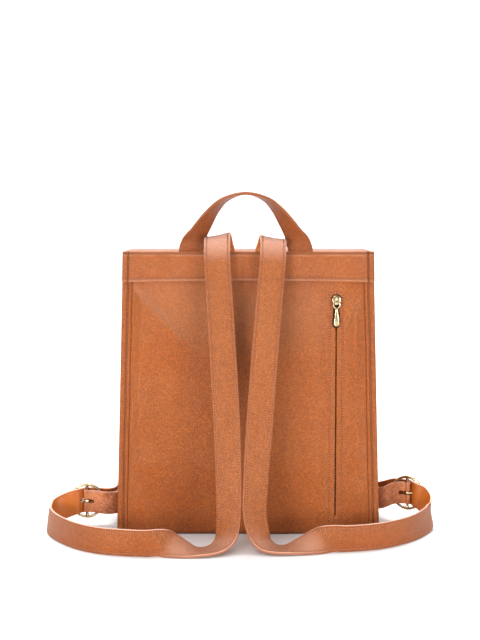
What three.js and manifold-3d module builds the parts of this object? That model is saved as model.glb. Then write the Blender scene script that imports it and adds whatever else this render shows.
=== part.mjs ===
// A leather backpack that stands on its base with its back panel towards -Y.
// Millimetres, +Z up. The origin is the centre of the base's underside.
import * as THREE from "three";
import { mergeVertices } from "three/addons/utils/BufferGeometryUtils.js";
import Module from "manifold-3d";

const wasm = await Module();
wasm.setup();

// ---- driving dimensions -------------------------------------------------------------------
const HEIGHT = 300; // base to top edge
const HALF_TOP = 130.5; // half the width at the top edge
const HALF_BASE = 139; // half the width at the base
const BACK = -50; // outer face of the back panel
const FRONT_TOP = 40; // outer face of the front panel, at the top edge
const FRONT_BASE = 50; // and at the base
const LEATHER = 2.2; // thickness of a body panel
const CLOTH = 0.8; // thickness of lining cloth
const GAP = 0.4; // between pieces that touch

const STRAP_WIDTH = 27;
const STRAP_THICK = 2.6;
const HANDLE_WIDTH = 25;
const HANDLE_THICK = 3.2;
const BAND_HEIGHT = 32; // the strip that covers the roots of the straps and the handle
const SEAM_WIDTH = 11; // the turned edge that closes each upright corner
const FLAP_DROP = 128; // how far the flap hangs down the front

const ZIP_X = 92; // the upright zip in the back panel
const ZIP_TOP = 250;
const ZIP_BASE = 20;
const SLOT_HALF = 3.2; // half the width of the slot over the zip
const POCKET_DEPTH = 8; // of the pouch behind the zip

const RING_RADIUS = 17.6; // buckle ring, to the middle of its wire
const WIRE = 1.5; // radius of the buckle's wire
const BAR = 1.6; // radius of the buckle's middle bar
const TAB_WIDTH = 24;
const TAB_LAYER = 1.6; // one of the tab's two layers
const TAB_HEIGHT = 26; // middle of a tab where it is sewn to the bag
const STRAP_DROP = 0.35; // how fast a strap sinks on its way out of its buckle

const SNAP_RADIUS = 8;
const SNAP_THICK = 1.2;

const TAN = new THREE.Color(0.5, 0.145, 0.045);
const looks = {
  leather: { color: TAN, roughness: 0.5 },
  cloth: { color: new THREE.Color(0.24, 0.13, 0.06), roughness: 0.95 },
  board: { color: new THREE.Color(0.2, 0.15, 0.1), roughness: 0.9 },
  brass: { color: new THREE.Color(0.75, 0.58, 0.28), roughness: 0.25, metalness: 1 },
};

// ---- solids -------------------------------------------------------------------------------
const V = (x, y, z) => new THREE.Vector3(x, y, z);

function fromTriangles(points, faces) {
  // A closed solid from shared points, turned so that its faces point out.
  let volume = 0;
  for (const [a, b, c] of faces) volume += points[a].dot(points[b].clone().cross(points[c]));
  const order = volume < 0 ? ([a, b, c]) => [a, c, b] : (face) => face;
  const geometry = new THREE.BufferGeometry();
  geometry.setAttribute(
    "position",
    new THREE.BufferAttribute(new Float32Array(points.flatMap((p) => p.toArray())), 3),
  );
  geometry.setIndex(faces.flatMap(order));
  return geometry;
}

function loft(rings) {
  // Rings of the same number of points, joined side by side and closed at both ends.
  const n = rings[0].length;
  const faces = [];
  const last = (rings.length - 1) * n;
  for (let r = 0; r < rings.length - 1; r++) {
    for (let k = 0; k < n; k++) {
      const [a, b] = [r * n + k, r * n + ((k + 1) % n)];
      faces.push([a, b, b + n], [a, b + n, a + n]);
    }
  }
  for (let k = 1; k < n - 1; k++) {
    faces.push([0, k + 1, k], [last, last + k, last + k + 1]);
  }
  return fromTriangles(rings.flat(), faces);
}

function block(low, high) {
  // An upright box between two corners.
  const geometry = new THREE.BoxGeometry(high[0] - low[0], high[1] - low[1], high[2] - low[2]);
  const middle = low.map((v, i) => (v + high[i]) / 2);
  return geometry.translate(...middle);
}

function solid(geometry) {
  const bare = geometry.clone();
  bare.deleteAttribute("normal");
  bare.deleteAttribute("uv");
  const merged = mergeVertices(bare, 1e-4);
  const index = merged.index.array;
  return new wasm.Manifold(
    new wasm.Mesh({
      numProp: 3,
      vertProperties: new Float32Array(merged.attributes.position.array),
      triVerts: new Uint32Array(index),
    }),
  );
}

function geometryOf(manifold) {
  const mesh = manifold.getMesh();
  const geometry = new THREE.BufferGeometry();
  geometry.setAttribute("position", new THREE.BufferAttribute(mesh.vertProperties, 3));
  geometry.setIndex(new THREE.BufferAttribute(mesh.triVerts, 1));
  return geometry;
}

function join(...parts) {
  return geometryOf(parts.map(solid).reduce((a, b) => a.add(b)));
}

function cut(whole, ...tools) {
  return geometryOf(tools.map(solid).reduce((a, b) => a.subtract(b), solid(whole)));
}

function spline(points, t) {
  return new THREE.CatmullRomCurve3(points, false, "centripetal").getPoint(t);
}

function ribbon(stations, width, thickness, steps, from = 0, to = 1) {
  // A flat strap. Each station is its middle and the direction across it, and the strap keeps
  // its width and thickness while it bends and twists between them. from and to are the ends
  // of the stretch that is made, as shares of the route.
  const middles = stations.map((s) => V(...s.slice(0, 3)));
  const across = stations.map((s) => V(...s.slice(3, 6)).normalize());
  const rings = [];
  for (let i = 0; i <= steps; i++) {
    const t = from + ((to - from) * i) / steps;
    const middle = spline(middles, t);
    const ahead = spline(middles, Math.min(1, t + 0.002));
    const along = ahead.sub(spline(middles, Math.max(0, t - 0.002))).normalize();
    const side = spline(across, t);
    side.addScaledVector(along, -side.dot(along)).setLength(width / 2);
    const out = along.clone().cross(side).setLength(thickness / 2);
    const corner = (a, b) => middle.clone().addScaledVector(side, a).addScaledVector(out, b);
    rings.push([corner(-1, -1), corner(1, -1), corner(1, 1), corner(-1, 1)]);
  }
  return loft(rings);
}

// ---- naming and placing -------------------------------------------------------------------
const bag = new THREE.Group();

function add(name, look, geometry, group = bag) {
  const flat = geometry.index ? geometry.toNonIndexed() : geometry;
  flat.computeVertexNormals();
  const mesh = new THREE.Mesh(flat, new THREE.MeshStandardMaterial(looks[look]));
  mesh.name = name;
  group.add(mesh);
}

const mirrored = (stations) => stations.map(([x, y, z, a, b, c]) => [-x, y, z, -a, b, c]);

// ---- body panels --------------------------------------------------------------------------
const halfWidth = (z) => HALF_BASE + ((HALF_TOP - HALF_BASE) * z) / HEIGHT;
const frontFace = (z) => FRONT_BASE + ((FRONT_TOP - FRONT_BASE) * z) / HEIGHT;

function tapered(inset, back, front, low, high) {
  // A block with the bag's taper: inset from its sides, between two depths and two heights.
  const ring = (z) => {
    const half = halfWidth(z) - inset;
    const [near, far] = [back(z), front(z)];
    return [V(-half, near, z), V(half, near, z), V(half, far, z), V(-half, far, z)];
  };
  return loft([ring(low), ring(high)]);
}

const atBack = (offset) => () => BACK + offset;
const atFront = (offset) => (z) => frontFace(z) - offset;

function slotCutter() {
  const slot = block([ZIP_X - SLOT_HALF, BACK - 5, ZIP_BASE], [ZIP_X + SLOT_HALF, BACK + 5, ZIP_TOP]);
  const eye = new THREE.CylinderGeometry(6.6, 6.6, 10, 20).translate(ZIP_X, BACK, ZIP_TOP);
  return join(slot, eye);
}

function makePanels() {
  const backPanel = tapered(0, atBack(0), atBack(LEATHER), 0, HEIGHT);
  add("back_panel", "leather", cut(backPanel, slotCutter()));
  add("front_panel", "leather", tapered(0, atFront(LEATHER), atFront(0), 0, HEIGHT));
  const inside = LEATHER + GAP;
  add("bottom_panel", "leather", tapered(inside, atBack(inside), atFront(inside), 0, LEATHER));
  for (const side of [-1, 1]) {
    const ring = (z) => {
      const [out, near, far] = [halfWidth(z), BACK + inside, frontFace(z) - inside];
      const xs = [side * out, side * (out - LEATHER)];
      return [V(xs[0], near, z), V(xs[1], near, z), V(xs[1], far, z), V(xs[0], far, z)];
    };
    add(side < 0 ? "gusset_left" : "gusset_right", "leather", loft([ring(0), ring(HEIGHT)]));
  }
}

function makeSeams() {
  // A turned strip of leather stitched down each upright edge, front and back.
  for (const side of [-1, 1]) {
    const strip = (near, far, low, high) => {
      const ring = (z) => {
        const out = halfWidth(z);
        const xs = [side * out, side * (out - SEAM_WIDTH)];
        return [V(xs[0], near(z), z), V(xs[1], near(z), z), V(xs[1], far(z), z), V(xs[0], far(z), z)];
      };
      return loft([ring(low), ring(high)]);
    };
    const name = side < 0 ? "left" : "right";
    const rear = strip(atBack(-GAP - 2), atBack(-GAP), 1, HEIGHT - BAND_HEIGHT - 1);
    const front = strip(atFront(-GAP), atFront(-GAP - 2), 1, HEIGHT - 1);
    add("rear_seam_" + name, "leather", rear);
    add("front_seam_" + name, "leather", front);
  }
}

function makeBand() {
  const low = HEIGHT - BAND_HEIGHT;
  const back = atBack(-STRAP_THICK - 2 * GAP - LEATHER);
  const front = atBack(-STRAP_THICK - 2 * GAP);
  add("back_band", "leather", tapered(-0.4, back, front, low, HEIGHT));
}

// ---- inside -------------------------------------------------------------------------------
function makeInside() {
  const wall = LEATHER + 2 * GAP;
  const deep = wall + POCKET_DEPTH + GAP;
  const floor = LEATHER + GAP;
  const side = LEATHER + GAP + LEATHER;
  add("base_board", "board", tapered(side, atBack(wall), atFront(wall), floor, floor + 1.6));
  const low = floor + 1.6 + GAP;
  const outer = tapered(wall, atBack(deep), atFront(wall), low, HEIGHT - 2);
  const hollow = tapered(wall + CLOTH, atBack(deep + CLOTH), atFront(wall + CLOTH), low + CLOTH, HEIGHT);
  add("lining", "cloth", cut(outer, hollow));

  const [left, right, base, top] = [ZIP_X - 62, ZIP_X + 28, ZIP_BASE - 8, ZIP_TOP + 12];
  const [near, far] = [BACK + wall + 1.2, BACK + wall + POCKET_DEPTH];
  const pouch = block([left, near, base], [right, far, top]);
  const space = block(
    [left + CLOTH, near + CLOTH, base + CLOTH],
    [right - CLOTH, far - CLOTH, top - CLOTH],
  );
  const mouth = block([ZIP_X - 7, near - 2, ZIP_BASE - 2], [ZIP_X + 7, near + 2, ZIP_TOP + 8]);
  add("zip_pocket_pouch", "cloth", cut(pouch, join(space, mouth)));
}

// ---- zip ----------------------------------------------------------------------------------
const sliderBody = new THREE.Group();

function makeZip() {
  const [low, high] = [ZIP_BASE - 4, ZIP_TOP + 6];
  const tapeBack = BACK + LEATHER + GAP;
  for (const side of [-1, 1]) {
    const name = side < 0 ? "left" : "right";
    const xs = [ZIP_X + side * 2.9, ZIP_X + side * 12].sort((a, b) => a - b);
    const tape = block([xs[0], tapeBack, low], [xs[1], tapeBack + CLOTH, high]);
    const teeth = [];
    for (let z = ZIP_BASE + 2; z < ZIP_TOP - 4; z += 4) {
      const tooth = [ZIP_X + side * 0.9, ZIP_X + side * 2.9].sort((a, b) => a - b);
      teeth.push(block([tooth[0], tapeBack - 1.2, z], [tooth[1], tapeBack + 0.5, z + 2.4]));
    }
    const spine = [ZIP_X + side * 1.8, ZIP_X + side * 2.9].sort((a, b) => a - b);
    const cord = block([spine[0], tapeBack, low + 2], [spine[1], tapeBack + CLOTH, high - 2]);
    add("zip_tape_" + name, "cloth", join(tape, cord, ...teeth));
  }

  const [plateTop, plateBase] = [ZIP_TOP + 4, ZIP_TOP - 6];
  const face = block([ZIP_X - 4.6, BACK - 2.1, plateBase], [ZIP_X + 4.6, BACK - 0.5, plateTop]);
  const post = block([ZIP_X - 0.6, BACK - 1, plateTop - 3], [ZIP_X + 0.6, BACK + 5, plateTop]);
  const heel = block([ZIP_X - 4.6, BACK + 3.9, plateBase], [ZIP_X + 4.6, BACK + 5, plateTop]);
  const bail = [-1, 1].map((side) => {
    const xs = [ZIP_X + side * 0.8, ZIP_X + side * 2].sort((a, b) => a - b);
    return block([xs[0], BACK - 4.4, ZIP_TOP - 5.6], [xs[1], BACK - 1.8, ZIP_TOP - 2.6]);
  });
  const pin = new THREE.CylinderGeometry(0.6, 0.6, 3.6, 10).rotateZ(Math.PI / 2);
  pin.translate(ZIP_X, BACK - 3.6, ZIP_TOP - 4.1);
  add("zip_slider", "brass", join(face, post, heel, ...bail, pin), sliderBody);

  const outline = new THREE.Shape();
  outline.moveTo(-0.65, 1.2);
  outline.lineTo(-0.65, -2.5);
  outline.lineTo(-2.2, -4.5);
  outline.lineTo(-3.3, -20);
  outline.absarc(0, -20.6, 3.3, Math.PI, 2 * Math.PI, false);
  outline.lineTo(2.2, -4.5);
  outline.lineTo(0.65, -2.5);
  outline.lineTo(0.65, 1.2);
  outline.closePath();
  const plate = new THREE.ExtrudeGeometry(outline, { depth: 1.5, bevelEnabled: false, curveSegments: 8 });
  plate.rotateX(Math.PI / 2).translate(ZIP_X, BACK - 2.9, ZIP_TOP - 4.1);
  const eyelet = new THREE.CylinderGeometry(0.85, 0.85, 6, 12).rotateZ(Math.PI / 2);
  eyelet.translate(ZIP_X, BACK - 3.6, ZIP_TOP - 4.1);
  const boss = new THREE.CylinderGeometry(1.4, 1.4, 1.3, 14).rotateZ(Math.PI / 2);
  boss.translate(ZIP_X, BACK - 3.6, ZIP_TOP - 4.1);
  add("zip_puller", "brass", cut(join(plate, boss), eyelet), sliderBody);
  bag.add(sliderBody);
}

// ---- flap and its snap --------------------------------------------------------------------
const FLAP_STAND_OFF = 2 * SNAP_THICK + 3 * GAP; // from the front panel to the flap

function makeFlap() {
  const top = (inset, near, far) => {
    const ring = (z) => {
      const half = HALF_TOP + 0.5 - inset;
      return [V(-half, near, z), V(half, near, z), V(half, far, z), V(-half, far, z)];
    };
    return loft([ring(HEIGHT + 1), ring(HEIGHT + 1 + LEATHER)]);
  };
  const face = (z) => frontFace(z) + FLAP_STAND_OFF;
  add("flap_top", "leather", top(0, BACK + 3, face(HEIGHT) + LEATHER - 0.5));

  const fold = HEIGHT + 1 - GAP;
  const corner = 16; // radius of the flap's lower corners
  const outline = new THREE.Shape();
  const half = HALF_TOP + 0.5;
  outline.moveTo(-half, 0);
  outline.lineTo(-half, -FLAP_DROP + corner);
  outline.absarc(-half + corner, -FLAP_DROP + corner, corner, Math.PI, 1.5 * Math.PI, false);
  outline.lineTo(half - corner, -FLAP_DROP);
  outline.absarc(half - corner, -FLAP_DROP + corner, corner, 1.5 * Math.PI, 2 * Math.PI, false);
  outline.lineTo(half, 0);
  outline.closePath();
  const plate = new THREE.ExtrudeGeometry(outline, { depth: LEATHER, bevelEnabled: false, curveSegments: 6 });
  const lean = Math.atan((FRONT_BASE - FRONT_TOP) / HEIGHT);
  plate.rotateX(Math.PI / 2).translate(0, LEATHER, 0).rotateX(lean);
  plate.translate(0, face(HEIGHT), fold);
  add("flap_front", "leather", plate);

  const z = HEIGHT - FLAP_DROP + 26;
  const disc = (offset) => {
    const shape = new THREE.CylinderGeometry(SNAP_RADIUS, SNAP_RADIUS, SNAP_THICK, 24);
    return shape.rotateX(lean).translate(0, frontFace(z) + offset + SNAP_THICK / 2, z);
  };
  add("snap_base", "brass", disc(GAP));
  add("snap_cap", "brass", disc(2 * GAP + SNAP_THICK));
}

// ---- handle -------------------------------------------------------------------------------
const HANDLE_BEND = 319; // height at which the handle bends when it is tilted

const ROOT_Y = BACK - GAP - STRAP_THICK / 2;
const HANDLE_LEAN = 2.6; // how far left of the middle the handle stands
const handleLeg = [
  [-53, ROOT_Y, 274, -1, 0, 0.2],
  [-56, ROOT_Y, 290, -1, 0, 0.25],
  [-56.9, ROOT_Y, 301.5, -1, 0, 0.35],
  [-55.4, ROOT_Y - 0.2, 306, -1, -0.02, 0.42],
  [-52.5, ROOT_Y - 0.9, 312, -0.84, -0.4, 0.4],
];
const handleHalf = [
  [-48.8, ROOT_Y - 1.6, HANDLE_BEND, -0.6, -0.74, 0.33],
  [-41.8, ROOT_Y - 2.4, 330, -0.46, -0.84, 0.3],
  [-32.5, ROOT_Y - 3.2, 343, -0.3, -0.93, 0.18],
  [-21.3, ROOT_Y - 4, 353.4, -0.18, -0.97, 0.07],
];
const handleTop = [0, ROOT_Y - 4.6, 359.9, 0, -1, 0];

function makeHandle() {
  // One strap; its sewn ends stay put and the arch above them tilts.
  const half = [...handleLeg, ...handleHalf];
  const route = [...half, handleTop, ...mirrored(half).reverse()];
  const shifted = route.map(([x, ...rest]) => [x - HANDLE_LEAN, ...rest]);
  const bend = handleLeg.length / (route.length - 1);
  const strap = (...stretch) => ribbon(shifted, HANDLE_WIDTH, HANDLE_THICK, ...stretch);
  add("handle_root_left", "leather", strap(14, 0, bend - 0.006));
  add("handle", "leather", strap(28, bend, 1 - bend));
  add("handle_root_right", "leather", strap(14, 1 - bend + 0.006, 1));
}

// ---- shoulder straps ----------------------------------------------------------------------
// Written for the left strap; the right one has its own route and is mirrored.
// Each row: middle x, y, z, then the direction across the strap.
const FOLD_Y = ROOT_Y - 6.8; // middle of the fold over the top edge
const routes = {
  left: {
    root: [
      [-23.5, ROOT_Y, 272, 1, 0, 0.1],
      [-26, ROOT_Y, 292, 1, 0, 0.13],
      [-27.7, ROOT_Y - 0.1, 301.6, 1, 0, 0.15],
      [-28.7, ROOT_Y - 1.9, 305, 1, 0, 0.17],
      [-30.2, ROOT_Y - 4.6, 312.6, 1, 0, 0.18],
      [-31.4, FOLD_Y, 315.6, 1, 0, 0.18],
      [-31.9, FOLD_Y - 5.3, 312.6, 1, 0, 0.13],
      [-32.2, FOLD_Y - 6.6, 304, 1, 0, 0.05],
    ],
    fall: [
      [-32.2, -65.7, 303, 1, 0, 0.05],
      [-32, -67.4, 291.7, 1, 0, 0],
      [-29, -75.6, 246, 1, 0, 0],
      [-25.3, -86.8, 185.6, 1, 0, 0],
      [-21.9, -97.9, 125.7, 1, -0.05, 0],
      [-20.1, -108.9, 66.5, 0.95, -0.3, 0],
      [-20, -114, 38, 0.9, -0.43, 0],
    ],
    floor: [
      [-21.8, -117.8, 18, 0.8, -0.6, 0],
      [-26, -121, 9.8, 0.64, -0.77, 0],
      [-32, -124.5, 5.7, 0.5, -0.87, 0],
      [-41, -128, 3.7, 0.3, -0.95, 0],
      [-53, -129.5, 3.6, 0, -1, -0.07],
      [-64, -130.3, 6.7, 0, -0.91, -0.4],
      [-74, -132, 10.6, 0, -0.68, -0.73],
      [-87, -134.8, 14.1, 0, -0.1, -1],
      [-102, -135.8, 13.8, 0, 0, -1],
      [-125, -132.5, 13.8, 0, 0, -1],
      [-150, -124.5, 13.8, -0.02, 0, -1],
      [-172, -109.5, 13.9, -0.05, 0, -1],
      [-191.5, -86, 14, -0.08, 0, -1],
      [-206, -59.5, 14.2, -0.12, 0, -1],
      [-212, -39, 15.4, -0.13, 0, -1],
      [-209.5, -26, 18.2, -0.1, 0, -1],
      [-202, -19.8, 21.8, -0.05, 0, -1],
    ],
    buckle: [-175, -13.5, 28],
    yaw: 0,
    tab: [[-158, -18.4], [-149, -15.6], [-142.6, -8], [-140.9, 3], [-140.9, 20]],
    tail: [[-157, -7.6], [-151, -4], [-146.6, 4], [-145.2, 18], [-145.2, 38]],
  },
  right: {
    root: [
      [-15, ROOT_Y, 272, 1, 0, 0.13],
      [-19, ROOT_Y, 292, 1, 0, 0.14],
      [-21.1, ROOT_Y - 0.1, 301.6, 1, 0, 0.15],
      [-22.3, ROOT_Y - 1.9, 305, 1, 0, 0.17],
      [-23.9, ROOT_Y - 4.6, 311, 1, 0, 0.17],
      [-25.2, FOLD_Y, 312.9, 1, 0, 0.15],
      [-25.5, FOLD_Y - 5.3, 311, 1, 0, 0.1],
      [-25.6, FOLD_Y - 6.6, 304, 1, 0, 0.05],
    ],
    fall: [
      [-25.6, -65.7, 303, 1, 0, 0.05],
      [-25.2, -67.4, 291.7, 1, 0, 0],
      [-21.1, -75.6, 246, 1, 0, 0],
      [-15.9, -86.8, 185.6, 1, 0, 0],
      [-11.2, -97.9, 125.7, 1, -0.1, 0],
      [-7.1, -108.9, 66.5, 0.9, -0.4, 0],
      [-6.2, -113.5, 38, 0.85, -0.5, 0],
    ],
    floor: [
      [-10.4, -116.6, 18, 0.78, -0.62, 0],
      [-14.8, -119, 10, 0.62, -0.78, 0],
      [-20.8, -120.8, 6, 0.5, -0.87, 0],
      [-28, -121.8, 4, 0.25, -0.97, 0],
      [-39, -121, 3.6, 0, -1, -0.05],
      [-53, -119.4, 6.7, 0, -0.91, -0.4],
      [-65.5, -119.4, 10.6, 0, -0.68, -0.73],
      [-80, -120, 14.1, 0, -0.1, -1],
      [-102, -117, 13.7, 0, 0, -1],
      [-133, -107.5, 13.8, -0.02, 0, -1],
      [-156, -91.5, 13.9, -0.05, 0, -1],
      [-173, -73, 14, -0.1, 0, -1],
      [-186, -52, 14.3, -0.16, 0, -1],
      [-193.6, -36.5, 15, -0.2, 0, -1],
      [-195.8, -28, 18, -0.16, 0, -1],
      [-193.8, -21.2, 23.6, -0.1, 0, -1],
    ],
    buckle: [-175, -2, 34],
    yaw: 32,
    tab: [[-159, 2.6], [-150, 4.2], [-143.4, 10], [-140.9, 20], [-140.9, 34]],
    tail: [[-163, 12.6], [-154.6, 16.6], [-148, 24], [-145.3, 35], [-145.3, 48]],
  },
};

// The strap's way through the buckle, as [outwards from the bar, towards the wearer].
const THREADING = [[17.4, 4], [12.8, 3.9], [9.2, 2.9], [5.9, -0.7], [3.2, -4], [0, -5.2], [-8, -5.3]];

function buckleFrame({ buckle, yaw }) {
  // Turns [outwards, towards the wearer] into a point on the strap's level.
  const angle = THREE.MathUtils.degToRad(yaw);
  const [cos, sin] = [Math.cos(angle), Math.sin(angle)];
  return ([u, n]) => [
    buckle[0] - u * cos + n * sin,
    buckle[1] - u * sin - n * cos,
    buckle[2] - Math.max(0, u - 10) * STRAP_DROP,
  ];
}

function sinking({ buckle }, [x, y]) {
  // A point of the tab or the tail, which both sink towards their ends at the bag.
  const share = THREE.MathUtils.smoothstep(x, buckle[0] + 10, -142);
  return [x, y, buckle[2] - 0.5 + (TAB_HEIGHT - buckle[2]) * share, 0, 0, -1];
}

function makeTab(route, place) {
  const { buckle } = route;
  const upright = [0, 0, -1];
  const start = [place([-2.2, 1.5]), place([-8, 2.9])];
  const path = start.map((p) => [...p, ...upright]);
  for (const point of route.tab) path.push(sinking(route, point));
  const strip = ribbon(path, TAB_WIDTH, 2 * TAB_LAYER, 22);
  const eye = BAR + 0.35;
  const tube = (radius, height) => {
    const shape = new THREE.CylinderGeometry(radius, radius, height, 20).rotateX(Math.PI / 2);
    return shape.translate(...buckle);
  };
  const slot = new THREE.BoxGeometry(15, 14, 4.4);
  slot.rotateZ(-THREE.MathUtils.degToRad(route.yaw));
  slot.translate(...place([-1.5, 0]));
  return cut(join(strip, tube(eye + TAB_LAYER, TAB_WIDTH)), tube(eye, TAB_WIDTH + 4), slot);
}

function makeBuckle(route) {
  const ring = new THREE.TorusGeometry(RING_RADIUS, WIRE, 10, 40);
  const bar = new THREE.CylinderGeometry(BAR, BAR, 2 * RING_RADIUS, 14);
  const whole = join(ring, bar).rotateX(Math.PI / 2);
  whole.rotateZ(THREE.MathUtils.degToRad(route.yaw));
  return whole.translate(...route.buckle);
}

function makeProng(route) {
  const collar = new THREE.CylinderGeometry(BAR + 1.5, BAR + 1.5, 2.8, 18).rotateX(Math.PI / 2);
  const eye = new THREE.CylinderGeometry(BAR + 0.25, BAR + 0.25, 6, 18).rotateX(Math.PI / 2);
  const rod = new THREE.CylinderGeometry(0.9, 1.1, 17, 10).rotateZ(Math.PI / 2);
  rod.translate(-10.6, 0, 0).rotateZ(-0.16);
  const whole = cut(join(collar, rod), eye);
  whole.rotateZ(THREE.MathUtils.degToRad(route.yaw));
  return whole.translate(...route.buckle);
}

function prongHole(route, place) {
  const hole = new THREE.BoxGeometry(9.2, 9, 4.4);
  hole.rotateZ(THREE.MathUtils.degToRad(route.yaw) + 0.75);
  return hole.translate(...place([8, -2.2]));
}

function makeStraps() {
  for (const [name, route] of Object.entries(routes)) {
    const flip = (geometry) => {
      if (name === "left") return geometry;
      const turned = geometry.clone().scale(-1, 1, 1);
      const index = turned.index;
      for (let i = 0; i < index.count; i += 3) {
        const held = index.getX(i);
        index.setX(i, index.getX(i + 1));
        index.setX(i + 1, held);
      }
      return turned;
    };
    const place = buckleFrame(route);
    const threaded = THREADING.map((p) => [...place(p), 0, 0, -1]);
    const tail = route.tail.map((point) => sinking(route, point));
    const path = [...route.fall, ...route.floor, ...threaded, ...tail];
    const knee = (route.fall.length - 1) / (path.length - 1);
    const strap = (...rest) => ribbon(rest[0], STRAP_WIDTH, STRAP_THICK, ...rest.slice(1));
    const end = strap(path, 100, knee + 0.002, 1);
    add("strap_root_" + name, "leather", flip(strap(route.root, 24)));
    add("shoulder_strap_" + name, "leather", flip(strap(path, 18, 0, knee)));
    add("strap_end_" + name, "leather", flip(cut(end, prongHole(route, place))));
    add("buckle_" + name, "brass", flip(makeBuckle(route)));
    add("prong_" + name, "brass", flip(makeProng(route)));
    add("buckle_tab_" + name, "leather", flip(makeTab(route, place)));
  }
}

makePanels();
makeSeams();
makeBand();
makeInside();
makeZip();
makeFlap();
makeHandle();
makeStraps();

export default bag;
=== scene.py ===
"""A leather backpack seen from behind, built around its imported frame. Metres, +Z up."""
import math

import bmesh
import bpy
import numpy as np
from mathutils import Matrix, Vector, noise


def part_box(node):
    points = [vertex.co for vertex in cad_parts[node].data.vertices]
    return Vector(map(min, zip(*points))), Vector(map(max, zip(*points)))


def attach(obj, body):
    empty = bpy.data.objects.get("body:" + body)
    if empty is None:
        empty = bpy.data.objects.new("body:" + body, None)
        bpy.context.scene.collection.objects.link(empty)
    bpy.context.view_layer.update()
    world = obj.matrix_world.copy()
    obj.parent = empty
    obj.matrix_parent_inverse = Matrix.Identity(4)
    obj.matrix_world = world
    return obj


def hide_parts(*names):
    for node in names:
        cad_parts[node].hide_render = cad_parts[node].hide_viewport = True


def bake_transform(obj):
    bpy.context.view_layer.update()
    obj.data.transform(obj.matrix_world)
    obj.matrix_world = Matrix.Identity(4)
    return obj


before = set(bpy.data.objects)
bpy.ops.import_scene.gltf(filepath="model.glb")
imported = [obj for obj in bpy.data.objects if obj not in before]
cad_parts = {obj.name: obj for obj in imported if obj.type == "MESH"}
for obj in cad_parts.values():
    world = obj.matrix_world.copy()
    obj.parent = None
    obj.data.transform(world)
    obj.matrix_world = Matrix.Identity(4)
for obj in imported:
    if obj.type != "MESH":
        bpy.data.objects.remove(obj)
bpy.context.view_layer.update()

MM = 0.001

# ---- camera -------------------------------------------------------------------------------


def make_camera():
    """Faces the bag's back from a little above, through a long lens."""
    data = bpy.data.cameras.new("camera")
    data.lens = 69.2
    data.sensor_width = 36
    data.clip_end = 20
    camera = bpy.data.objects.new("camera", data)
    camera.location = (-0.0086, -1.33, 0.3389)
    camera.rotation_euler = (math.radians(85.06), 0, 0)
    bpy.context.scene.collection.objects.link(camera)
    bpy.context.scene.camera = camera


make_camera()

# ---- sizes taken from the frame ------------------------------------------------------------
panel_low, panel_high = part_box("back_panel")
slider_low, slider_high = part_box("zip_slider")
puller_low, puller_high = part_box("zip_puller")
tape_low, tape_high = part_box("zip_tape_left")
drape_low, drape_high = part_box("flap_front")
lining_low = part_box("lining")[0]

HEIGHT = panel_high.z
BACK = panel_low.y
FRONT_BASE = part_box("front_panel")[1].y
FRONT_TOP = 40 * MM
HALF_BASE = panel_high.x
HALF_TOP = 130.5 * MM
LEATHER = 2.2 * MM
BAND_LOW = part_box("back_band")[0].z
ZIP_X = (slider_low.x + slider_high.x) / 2
ZIP_BASE = tape_low.z + 4 * MM
ZIP_TOP = tape_high.z - 6 * MM
FLAP_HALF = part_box("flap_top")[1].x
FLAP_FRONT = drape_high.y


def half_width(z):
    """Half the bag's width at a height."""
    return HALF_BASE + (HALF_TOP - HALF_BASE) * z / HEIGHT


def front_face(z):
    """Depth of the front panel's outer face at a height."""
    return FRONT_BASE + (FRONT_TOP - FRONT_BASE) * z / HEIGHT


# ---- small maths -----------------------------------------------------------------------------


def smooth(x, low, high):
    """0 at low, 1 at high, with a soft start and end."""
    t = min(1.0, max(0.0, (x - low) / (high - low)))
    return t * t * (3 - 2 * t)


def bump(x, middle, reach):
    """1 at middle, falling smoothly to 0 at reach on either side."""
    return 1 - smooth(abs(x - middle), 0, reach)


def wave(x, y, z, size, seed=0.0):
    """Smooth noise from -1 to 1 with features about size metres across."""
    return noise.noise(Vector((x / size + seed, y / size + seed * 0.7, z / size - seed)))


# ---- meshes ----------------------------------------------------------------------------------


def turns(count):
    """Angles evenly spaced round a full turn."""
    return [2 * math.pi * k / count for k in range(count)]


def bulged(value, power):
    """A sine or cosine raised to a power with its sign kept, for squarer or rounder outlines."""
    return math.copysign(abs(value) ** power, value)


def piece(name, points, faces, material, marks=None, flat=False):
    """A mesh object. marks are named values per point, such as how worn an edge is."""
    mesh = bpy.data.meshes.new(name)
    mesh.from_pydata([tuple(p) for p in points], [], faces)
    mesh.validate()
    mesh.shade_flat() if flat else mesh.shade_smooth()
    for mark, values in (marks or {}).items():
        attribute = mesh.attributes.new(mark, "FLOAT", "POINT")
        attribute.data.foreach_set("value", np.asarray(values, np.float32))
    mesh.materials.append(material)
    made = bpy.data.objects.new(name, mesh)
    bpy.context.scene.collection.objects.link(made)
    return made


def settle(made):
    """Applies the modifiers of a piece."""
    view = bpy.context.evaluated_depsgraph_get()
    mesh = bpy.data.meshes.new_from_object(made.evaluated_get(view))
    made.modifiers.clear()
    made.data = mesh
    return made


def soften(made, width, segments=2, angle=50):
    """Rounds the edges of a piece that are sharper than angle."""
    bevel = made.modifiers.new("bevel", "BEVEL")
    bevel.width = width
    bevel.segments = segments
    bevel.limit_method = "ANGLE"
    bevel.angle_limit = math.radians(angle)
    bevel.use_clamp_overlap = True
    return settle(made)


def carve(made, tool, operation="DIFFERENCE"):
    """Cuts tool out of a piece, or joins it on, and removes tool."""
    boolean = made.modifiers.new("boolean", "BOOLEAN")
    boolean.operation = operation
    boolean.object = tool
    boolean.solver = "EXACT"
    settle(made)
    bpy.data.objects.remove(tool)
    return made


def crisp(made, angle=40):
    """Shades a piece smoothly, with hard edges where it turns by more than angle."""
    made.data.shade_smooth()
    made.data.set_sharp_from_angle(angle=math.radians(angle))
    return made


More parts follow.
